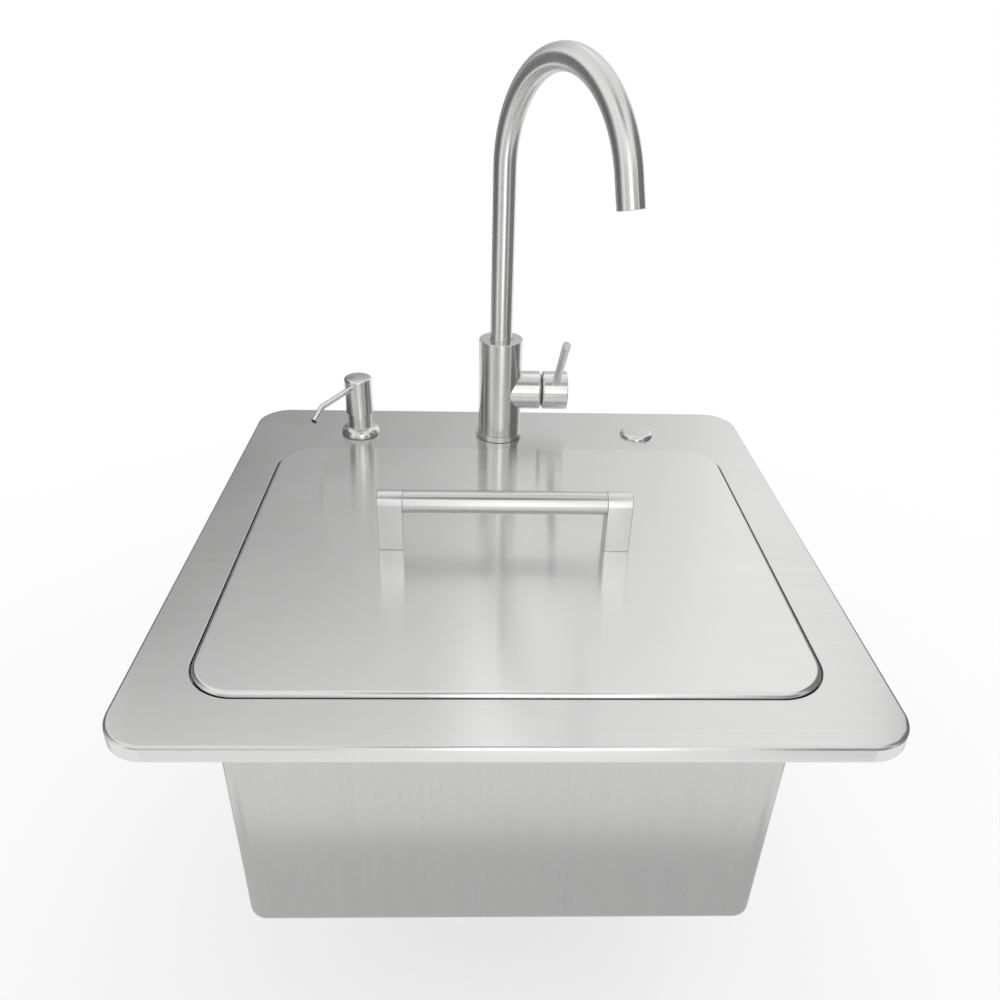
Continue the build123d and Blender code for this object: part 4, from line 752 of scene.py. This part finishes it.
class SINK_OT_barrel(bpy.types.Operator):
    """Makes the tap's body with its side branch, and the ring under it."""

    bl_idname = "sink.barrel"
    bl_label = "Tap body"

    def execute(self, context):
        sizes = context.scene.sink_fitting
        outer = sizes.barrel / MM
        foot = sizes.barrel_foot / MM
        top = sizes.barrel_top / MM
        shank = 16.5
        shank_top = foot + 10
        socket = 11.4
        socket_floor = 91
        bore = 8.05
        bore_floor = 79
        profile = [
            (0, shank_top), (shank, shank_top), (shank, foot), (outer, foot), (outer, top),
            (socket, top), (socket, socket_floor), (bore, socket_floor), (bore, bore_floor),
            (0, bore_floor),
        ]
        bm = stand(turned(profile, facets=192, edge=0.7), tap_centre)
        finish_mesh(bm, "tap_barrel", "tap_steel", "sink", "tap_steel", "tap_body")
        branch = sizes.branch / MM
        root = 8
        end = sizes.branch_end / MM
        edge = 3.0
        chamber = 12.65
        chamber_floor = end - 7
        profile = [(0, root), (branch, root)] + arc(branch - edge, end - edge, edge, 0, 90)
        profile += [(chamber, end), (chamber, chamber_floor), (0, chamber_floor)]
        bm = stand(turned(profile, facets=192), branch_centre, right)
        finish_mesh(bm, "tap_branch", "branch_steel", "sink", "tap_steel")
        ring_outer = sizes.base_ring / MM
        ring_foot = rim_high.z / MM
        undercut = ring_outer - 1.5
        undercut_top = ring_foot + 0.6
        profile = [
            (shank, ring_foot), (undercut, ring_foot), (undercut, undercut_top),
            (ring_outer, undercut_top), (ring_outer, foot), (shank, foot),
        ]
        bm = stand(turned(profile, closed=True, edge=0.3), tap_centre)
        finish_mesh(bm, "tap_foot_ring", "tap_steel", "sink", "tap_steel", "tap_base_ring")
        return {"FINISHED"}


class SINK_OT_lever(bpy.types.Operator):
    """Makes the domed bonnet in the seam, the lever's cap and its rod."""

    bl_idname = "sink.lever"
    bl_label = "Lever"

    def execute(self, context):
        sizes = context.scene.sink_fitting
        pivot = joint_of["lever_turn"]["pos_m"][0] / MM
        ball = 26.4
        wall = 1.2
        skirt = 16.0
        skirt_end = 40.2
        end = sizes.branch_end / MM
        foot_angle = 40.7
        mouth_angle = 29.5
        inner_mouth_angle = 31.0
        inner_foot_angle = 36.0
        outside = arc(0, pivot, ball, 90 - foot_angle, 90 - mouth_angle)
        inside = arc(0, pivot, ball - wall, 90 - inner_mouth_angle, 90 - inner_foot_angle)
        profile = outside + inside + [(skirt - wall, skirt_end), (skirt, skirt_end), (skirt, end)]
        bm = stand(turned(profile, closed=True), branch_centre, right)
        finish_mesh(bm, "lever_bonnet", "branch_steel", "sink", "tap_steel", "bonnet")
        start = sizes.cap_start / MM
        stop = sizes.cap_end / MM
        outer = sizes.branch / MM
        hollow = 27.35
        rim_angle = 39.83
        edge = 0.8
        profile = arc(0, pivot, hollow, 90, 90 - rim_angle)
        mouth_edge = 2.48
        profile += arc(outer - mouth_edge, start + mouth_edge, mouth_edge, -90, 0)[1:]
        profile += arc(outer - edge, stop - edge, edge, 0, 90, steps=4) + [(0, stop)]
        bm = stand(turned(profile, facets=128), branch_centre, right)
        finish_mesh(bm, "lever_head", "branch_steel", "mixer_lever", "tap_steel", "lever_cap")
        lean = sizes.rod_lean
        direction = lever_up * cos(lean) + right * sin(lean)
        rod_place = 57.5 * MM
        foot = Vector((rod_place, branch_centre.y, branch_centre.z))
        rod = sizes.rod / MM
        sunk = outer - 1
        reach = outer + sizes.rod_length / MM
        profile = [(0, sunk), (rod, sunk), (rod, reach), (0, reach)]
        bm = stand(turned(profile, facets=48, edge=0.5), foot, direction)
        finish_mesh(bm, "lever_arm", "rod_steel", "mixer_lever", "tap_steel", "lever_rod")
        return {"FINISHED"}


class SINK_OT_spout(bpy.types.Operator):
    """Makes the swan-neck spout from one bent tube."""

    bl_idname = "sink.spout"
    bl_label = "Spout"

    def execute(self, context):
        sizes = context.scene.sink_fitting
        foot = 101 * MM
        start = tap_centre + up * foot
        toward = Vector((sin(sizes.spout_turn), -cos(sizes.spout_turn), 0))
        rise = sizes.bend_height - foot
        route = (up, toward, start, rise, sizes.bend, sizes.bend_angle, sizes.tip_run)
        bm = bent_tube(sizes.tube, sizes.tube_wall, route, facets=64, steps=72)
        ease(bm, 0.3, edge_angle=60)
        finish_mesh(bm, "swan_neck", "tube_steel", "spout", "tap_steel", "spout_tube")
        return {"FINISHED"}


class SINK_OT_dispenser(bpy.types.Operator):
    """Makes the soap dispenser above the deck: its collar, its head and its nozzle."""

    bl_idname = "sink.dispenser"
    bl_label = "Soap dispenser"

    def execute(self, context):
        sizes = context.scene.sink_fitting
        deck = rim_high.z / MM
        neck = 12.5
        neck_top = 50.0
        bore = 10.2
        shank = 13.0
        shank_end = -18.0
        flange = 20.25
        undercut = flange - 1.2
        undercut_top = deck + 0.5
        dome = 8.5
        dome_centre = (12.19, undercut_top)
        low = 3.0
        high = 87.9
        profile = [
            (bore, shank_end), (shank, shank_end), (shank, deck), (undercut, deck),
            (undercut, undercut_top),
        ]
        profile += arc(*dome_centre, dome, low, high) + [(neck, neck_top), (bore, neck_top)]
        bm = stand(turned(profile, closed=True, edge=0.3, edge_angle=40), soap_centre)
        finish_mesh(bm, "soap_neck", "soap_steel", "sink", "soap_steel", "soap_collar")
        head = 14.5
        head_foot = 37.0
        head_top = 77.5
        head_bore = 13.1
        ceiling = 62.5
        edge = 3.0
        crown = 1.1
        flat = head - edge
        crown_radius = (flat**2 + crown**2) / (2 * crown)
        crown_angle = asin(flat / crown_radius) * 180 / pi
        profile = [(0, ceiling), (head_bore, ceiling), (head_bore, head_foot), (head, head_foot)]
        profile += arc(flat, head_top - crown - edge, edge, 0, 90)
        profile += arc(0, head_top - crown_radius, crown_radius, 90 - crown_angle, 90)[1:]
        bm = stand(turned(profile, edge=0.3, edge_angle=60), soap_centre)
        finish_mesh(bm, "soap_cap", "soap_steel", "pump_cap", "soap_steel", "pump_head")
        away = Vector((-cos(sizes.nozzle_turn), -sin(sizes.nozzle_turn), 0))
        height = 68.4 * MM
        root = 6 * MM
        run = 58.5 * MM
        bend = 9 * MM
        bend_angle = radians(31)
        tip_run = 14.9 * MM
        wall = 0.8
        start = soap_centre + up * height + away * root
        route = (away, -up, start, run, bend, bend_angle, tip_run)
        bm = bent_tube(sizes.nozzle, wall * MM, route, facets=32, steps=12)
        finish_mesh(bm, "soap_spout", "nozzle_steel", "pump_cap", "soap_steel", "pump_nozzle")
        # A black ring set into the nozzle's end, with a small hole in it.
        outer = sizes.nozzle / MM
        inner = outer - wall
        hole = 1.4
        plug = -3
        lip = 0.8
        profile = [(hole, plug), (inner, plug), (inner, 0), (outer, 0), (outer, lip), (hole, lip)]
        bm = stand(turned(profile, closed=True, facets=32, edge=0.15), *route_end(*route))
        finish_mesh(bm, "soap_tip", "black_rubber", "pump_cap", "black_rubber")
        return {"FINISHED"}


class SINK_OT_spring(bpy.types.Operator):
    """Makes the pump's return spring: a coil of round wire."""

    bl_idname = "sink.spring"
    bl_label = "Pump spring"

    def execute(self, context):
        low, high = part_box("pump_spring")
        wire = 0.5 * MM
        coil = 4.1 * MM
        turns = 5
        steps = 24 * turns
        rise = high.z - low.z - 2 * wire
        bm = bmesh.new()
        made = bmesh.ops.create_circle(bm, cap_ends=True, radius=wire, segments=8)["verts"]
        bmesh.ops.rotate(bm, verts=made, cent=(0, 0, 0), matrix=Matrix.Rotation(pi / 2, 3, "X"))
        bmesh.ops.translate(bm, verts=made, vec=(coil, 0, low.z + wire))
        bmesh.ops.spin(
            bm, geom=bm.faces[:], cent=(0, 0, 0), axis=(0, 0, 1), dvec=(0, 0, rise / steps),
            angle=2 * pi * turns, steps=steps,
        )
        bmesh.ops.translate(bm, verts=bm.verts[:], vec=soap_centre)
        closed_up(bm)
        piece = finish_mesh(
            bm, "pump_coil", "fastener_steel", "pump_unit", "fastener_steel", "pump_spring"
        )
        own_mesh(piece)
        return {"FINISHED"}


class SINK_OT_cover(bpy.types.Operator):
    """Makes the domed cover of the spare hole, with its stud."""

    bl_idname = "sink.cover"
    bl_label = "Hole cover"

    def execute(self, context):
        deck = rim_high.z / MM
        top = cover_high.z / MM
        foot = cover_low.z / MM
        outer = 17.7
        stud = 3.0
        edge = 4.1
        crown = 0.25
        undercut = outer - 0.4
        undercut_top = deck + 0.15
        flat = 6
        flat_drop = 0.05
        last_angle = 86
        profile = [
            (0, foot), (stud, foot), (stud, deck), (undercut, deck), (undercut, undercut_top),
        ]
        profile += arc(outer - edge, top - crown - edge, edge, 0, last_angle, steps=14)
        profile += [(flat, top - flat_drop), (0, top)]
        bm = stand(turned(profile), cover_centre)
        finish_mesh(bm, "spare_cover", "cover_steel", "sink", "cover_steel", "hole_cover")
        return {"FINISHED"}


class SINK_OT_drain(bpy.types.Operator):
    """Makes the round pieces of the drain: the strainer's cup and the tailpiece."""

    bl_idname = "sink.drain"
    bl_label = "Drain"

    def execute(self, context):
        sheet = context.scene.sink_sheet.bowl_sheet / MM
        seat = bowl_low.z / MM + sheet
        flange = 57.0
        cup = 43.5
        wall = 1.5
        outlet = 19.5
        floor = -298.5
        profile = [
            (outlet, floor - wall), (cup, floor - wall), (cup, seat), (flange, seat),
            (flange, seat + wall), (cup - wall, seat + wall), (cup - wall, floor), (outlet, floor),
        ]
        bm = stand(turned(profile, closed=True, edge=0.6), drain_centre)
        finish_mesh(bm, "strainer_cup", "strainer_steel", "sink", "strainer_steel", "strainer_body")
        tail = 19.05
        neck = 19.4
        tail_wall = 1.2
        bore = tail - tail_wall
        neck_foot = -334.0
        taper = 1
        flange = 23.4
        top = drain_high.z / MM
        foot = drain_low.z / MM
        profile = [
            (bore, foot), (tail, foot), (tail, neck_foot - taper), (neck, neck_foot),
            (neck, top - tail_wall), (flange, top - tail_wall), (flange, top), (bore, top),
        ]
        bm = stand(turned(profile, closed=True, edge=0.2), drain_centre)
        finish_mesh(bm, "drain_tail", "strainer_steel", "sink", "strainer_steel", "tailpiece")
        return {"FINISHED"}


class SINK_OT_bottle(bpy.types.Operator):
    """Makes the soap bottle under the deck."""

    bl_idname = "sink.bottle"
    bl_label = "Soap bottle"

    def execute(self, context):
        low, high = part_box("soap_bottle")
        top = high.z / MM
        foot = low.z / MM
        outer = 31.0
        neck = 14.4
        wall = 1.4
        heel = 5.0
        shoulder = 17.0
        shoulder_foot = -40.0
        skin = [(neck, top), (neck, top - shoulder)]
        skin += [(outer, shoulder_foot), (outer, foot + heel)]
        skin += arc(outer - heel, foot + heel, heel, 0, -90)[1:] + [(0, foot)]
        inner = [(0, foot + wall)] + arc(outer - heel, foot + heel, heel - wall, -90, 0)
        inner += [(outer - wall, shoulder_foot), (neck - wall, top - shoulder), (neck - wall, top)]
        softness = 4
        bm = stand(turned(skin + inner, closed=True, edge=softness), soap_centre)
        finish_mesh(bm, "soap_reservoir", "bottle_plastic", "sink", "bottle_plastic", "soap_bottle")
        return {"FINISHED"}


class SINK_OT_stage(bpy.types.Operator):
    """Sets the pale floor, the soft light and the camera."""

    bl_idname = "sink.stage"
    bl_label = "Stage"

    def execute(self, context):
        self.floor()
        self.sky(context)
        for card in cards:
            self.card(*card)
        self.lamp(context, "top_light", Vector((0.3, 0.2, 2.4)), size=2.6, power=24.0)
        self.camera(context)
        context.scene.view_settings.view_transform = "Standard"
        return {"FINISHED"}

    def floor(self):
        """A large pale floor just under the drain's tail."""
        bm = bmesh.new()
        bmesh.ops.create_grid(bm, x_segments=8, y_segments=8, size=60.0)
        bmesh.ops.translate(bm, verts=bm.verts[:], vec=(0, 0, cad_box[0][2]))
        stage_object(bm, "floor", floor_finish())

    def card(self, name, middle, across, rise, levels, soft):
        """A card that only shines in the metal, from its middle and its two directions."""
        bm = bmesh.new()
        bmesh.ops.create_grid(bm, x_segments=1, y_segments=1, size=0.5)
        panel = stage_object(bm, name, card_finish(name, levels, soft))
        across, rise = Vector(across), Vector(rise)
        turned_by = Matrix((across, rise, across.cross(rise).normalized())).transposed().to_4x4()
        panel.matrix_world = Matrix.Translation(middle) @ turned_by
        panel.visible_camera = False
        panel.visible_diffuse = False
        panel.visible_shadow = False

    def sky(self, context):
        """A white surround, a little dimmer as a light than it looks."""
        world = bpy.data.worlds.new("studio")
        context.scene.world = world
        world.use_nodes = True
        tree = world.node_tree
        tree.nodes.clear()
        background = tree.nodes.new("ShaderNodeBackground")
        background.inputs["Color"].default_value = (1, 1, 1, 1)
        strength = tree.nodes.new("ShaderNodeMapRange")
        strength.inputs["To Min"].default_value = surround_light
        tree.links.new(background_rays(tree), strength.inputs["Value"])
        tree.links.new(strength.outputs["Result"], background.inputs["Strength"])
        out = tree.nodes.new("ShaderNodeOutputWorld")
        tree.links.new(background.outputs["Background"], out.inputs["Surface"])

    def lamp(self, context, name, place, size, power):
        """A square soft light aimed at the object."""
        light = bpy.data.lights.new(name, "AREA")
        light.shape = "SQUARE"
        light.size = size
        light.energy = power
        lamp = bpy.data.objects.new(name, light)
        context.scene.collection.objects.link(lamp)
        lamp.visible_glossy = False
        lamp.location = place
        lamp.rotation_euler = place.to_track_quat("Z", "Y").to_euler()

    def camera(self, context):
        """The photograph's viewpoint."""
        place = Vector((-0.02429, -0.64046, 0.41875))
        yaw = radians(1.858)
        pitch = radians(30.306)
        roll = radians(1.436)
        view = bpy.data.cameras.new("view")
        view.sensor_width = 36.0
        view.lens = 30.59
        ahead = Vector((sin(yaw) * cos(pitch), cos(yaw) * cos(pitch), -sin(pitch)))
        across = Vector((cos(yaw), -sin(yaw), 0))
        above = across.cross(ahead)
        side = across * cos(roll) + above * sin(roll)
        top = above * cos(roll) - across * sin(roll)
        camera = bpy.data.objects.new("view", view)
        context.scene.collection.objects.link(camera)
        camera.matrix_world = Matrix((side, top, -ahead)).transposed().to_4x4()
        camera.location = place
        context.scene.camera = camera


# Cards round the object: name, middle, the two directions in which they spread, brightness at both
# ends, and the shares over which the ends, the foot and the top fade into the white surround
cards = (
    ("back_card", (-0.3, 1.6, 1.09), (2.2, 0, 0), (0, 0, 3.02), (0.0, 0.92),
     (0.02, 0.1, 0.0, 0.62)),
    ("left_card", (-0.85, 0.22, 0.2), (0, 1.5, 0), (0, 0, 1.24), (0.16, 0.12),
     (0.38, 0.1, 0.25, 0.2)),
    ("front_left_card", (-0.65, -1.03, 0.16), (-0.9, 0.25, 0), (0, 0, 1.16), (0.75, 0.45),
     (0.1, 0.3, 0.0, 0.2)),
    ("front_right_card", (0.75, -0.9, 0.2), (0.74, 0.2, 0), (0, 0, 1.24), (0.3, 0.25),
     (0.15, 0.1, 0.0, 0.2)),
    ("right_card", (1.0, 0.18, 0.54), (0, 1.55, 0), (0, 0, 1.92), (0.2, 0.2), (0.1, 0.2, 0.0, 0.3)),
    ("front_strip", (0.1, -1.05, 0.2), (0.42, 0, 0), (0, 0, 1.24), (1.9, 1.9),
     (0.2, 0.2, 0.0, 0.1)),
    ("front_top_card", (0, -1.3, 1.12), (2.4, 0, 0), (0, 0, 1.04), (0.9, 1.3),
     (0.2, 0.2, 0.2, 0.0)),
    ("front_top_strip", (0.05, -1.28, 1.12), (0.16, 0, 0), (0, 0, 1.04), (2.4, 2.4),
     (0.3, 0.3, 0.2, 0.2)),
    ("ceiling_card", (0, -1.03, 2.05), (1.1, 0, 0), (0, 1.15, 0), (0.15, 0.15),
     (0.25, 0.25, 0.05, 0.1)),
    ("zenith_card", (0, 0.05, 2.1), (3.0, 0, 0), (0, 1.0, 0), (0.84, 0.84), (0.1, 0.1, 0.1, 0.2)),
    # The two floor cards beside the bowl are dark patches on the floor that only the metal sees: painted shade on
    # the floor next to the object.
    ("left_floor_card", (-0.5, 0.45, -0.415), (0.66, 0, 0), (0, 1.1, 0), (0.35, 0.35),
     (0.1, 0.1, 0.1, 0.1)),
    ("right_floor_card", (0.45, 0.35, -0.415), (0.5, 0, 0), (0, 0.9, 0), (0.35, 0.35),
     (0.1, 0.1, 0.1, 0.1)),
    ("back_top_strip", (0.12, 1.55, 2.15), (0.55, 0, 0), (0, 0, 0.95), (1.8, 1.6),
     (0.4, 0.4, 0.3, 0.2)),
    # The floor card under the front of the bowl is a darker patch that only the metal sees: painted shadow of the
    # object on the floor, which the bowl's walls reflect.
    ("floor_card", (0, -0.225, -0.41), (1.0, 0, 0), (0, 0.4, 0), (0.68, 0.60),
     (0.1, 0.1, 0.05, 0.0)),
)
surround_light = 0.78
floor_near = 0.5
floor_far = 1.4
floor_glow = 0.6


def background_rays(tree):
    """1 for the rays that show a background: straight to the camera, in metal and through glass."""
    path = tree.nodes.new("ShaderNodeLightPath")
    seen = path.outputs["Is Camera Ray"]
    for kind in ("Is Glossy Ray", "Is Transmission Ray"):
        both = tree.nodes.new("ShaderNodeMath")
        both.operation = "MAXIMUM"
        tree.links.new(seen, both.inputs[0])
        tree.links.new(path.outputs[kind], both.inputs[1])
        seen = both.outputs["Value"]
    return seen


def floor_finish():
    """A plain pale floor that keeps the object's shadow and goes over into white with distance."""
    finish = Finish("pale_floor")
    finish.put({"Base Color": (0.95, 0.95, 0.95, 1), "Roughness": 0.9, "Specular IOR Level": 0.1})
    flat_place = finish.place((1, 1, 0))
    distance = finish.node("VectorMath", {0: flat_place}, operation="LENGTH").outputs["Value"]
    fade = finish.fade(distance, floor_near, floor_far, floor_glow)
    share = finish.maths("MULTIPLY", fade, background_rays(finish.tree))
    white = finish.node("Emission").outputs["Emission"]
    inputs = {"Fac": share, 1: finish.shader.outputs["BSDF"], 2: white}
    return finish.glow(finish.node("MixShader", inputs).outputs["Shader"])


def card_finish(name, levels, soft):
    """A card's own brightness, from one end to the other, fading into white at its edges."""
    finish = Finish(name)
    parts = finish.node("SeparateXYZ", {"Vector": finish.place()}).outputs
    level = finish.spread(parts["X"], *levels, -0.5, 0.5)
    mask = 1.0
    for axis, margins in (("X", soft[:2]), ("Y", soft[2:])):
        for side, margin in zip((-1, 1), margins):
            if margin:
                edge = finish.fade(parts[axis], side * 0.5, side * (0.5 - margin))
                mask = finish.maths("MULTIPLY", mask, edge)
    blend = finish.node("Mix", {"Factor": mask, "A": 1.0, "B": level}, data_type="FLOAT")
    white = finish.node("Emission", {"Strength": blend.outputs["Result"]})
    return finish.glow(white.outputs["Emission"])


piece_operators = (
    SINK_OT_finishes, SINK_OT_rim, SINK_OT_lid, SINK_OT_bowl, SINK_OT_handle, SINK_OT_barrel,
    SINK_OT_lever, SINK_OT_spout, SINK_OT_dispenser, SINK_OT_spring, SINK_OT_cover, SINK_OT_drain,
    SINK_OT_bottle, SINK_OT_stage,
)


class SINK_PT_panel(bpy.types.Panel):
    """Lists the sink's pieces in the 3D view's sidebar."""

    bl_idname = "SINK_PT_panel"
    bl_label = "Outdoor Sink"
    bl_space_type = "VIEW_3D"
    bl_region_type = "UI"
    bl_category = "Sink"

    def draw(self, context):
        column = self.layout.column()
        for operator in piece_operators:
            column.operator(operator.bl_idname)


settings_groups = (SinkSheetSettings, SinkFittingSettings, SinkFinishSettings)


def register():
    for item in (*settings_groups, *piece_operators, SINK_PT_panel):
        bpy.utils.register_class(item)
    bpy.types.Scene.sink_sheet = PointerProperty(type=SinkSheetSettings)
    bpy.types.Scene.sink_fitting = PointerProperty(type=SinkFittingSettings)
    bpy.types.Scene.sink_finish = PointerProperty(type=SinkFinishSettings)


def unregister():
    del bpy.types.Scene.sink_finish
    del bpy.types.Scene.sink_fitting
    del bpy.types.Scene.sink_sheet
    for item in (SINK_PT_panel, *reversed(piece_operators), *reversed(settings_groups)):
        bpy.utils.unregister_class(item)


def main():
    """Builds every piece in turn."""
    register()
    for operator in piece_operators:
        group, name = operator.bl_idname.split(".")
        getattr(getattr(bpy.ops, group), name)()


if __name__ == "__main__":
    main()
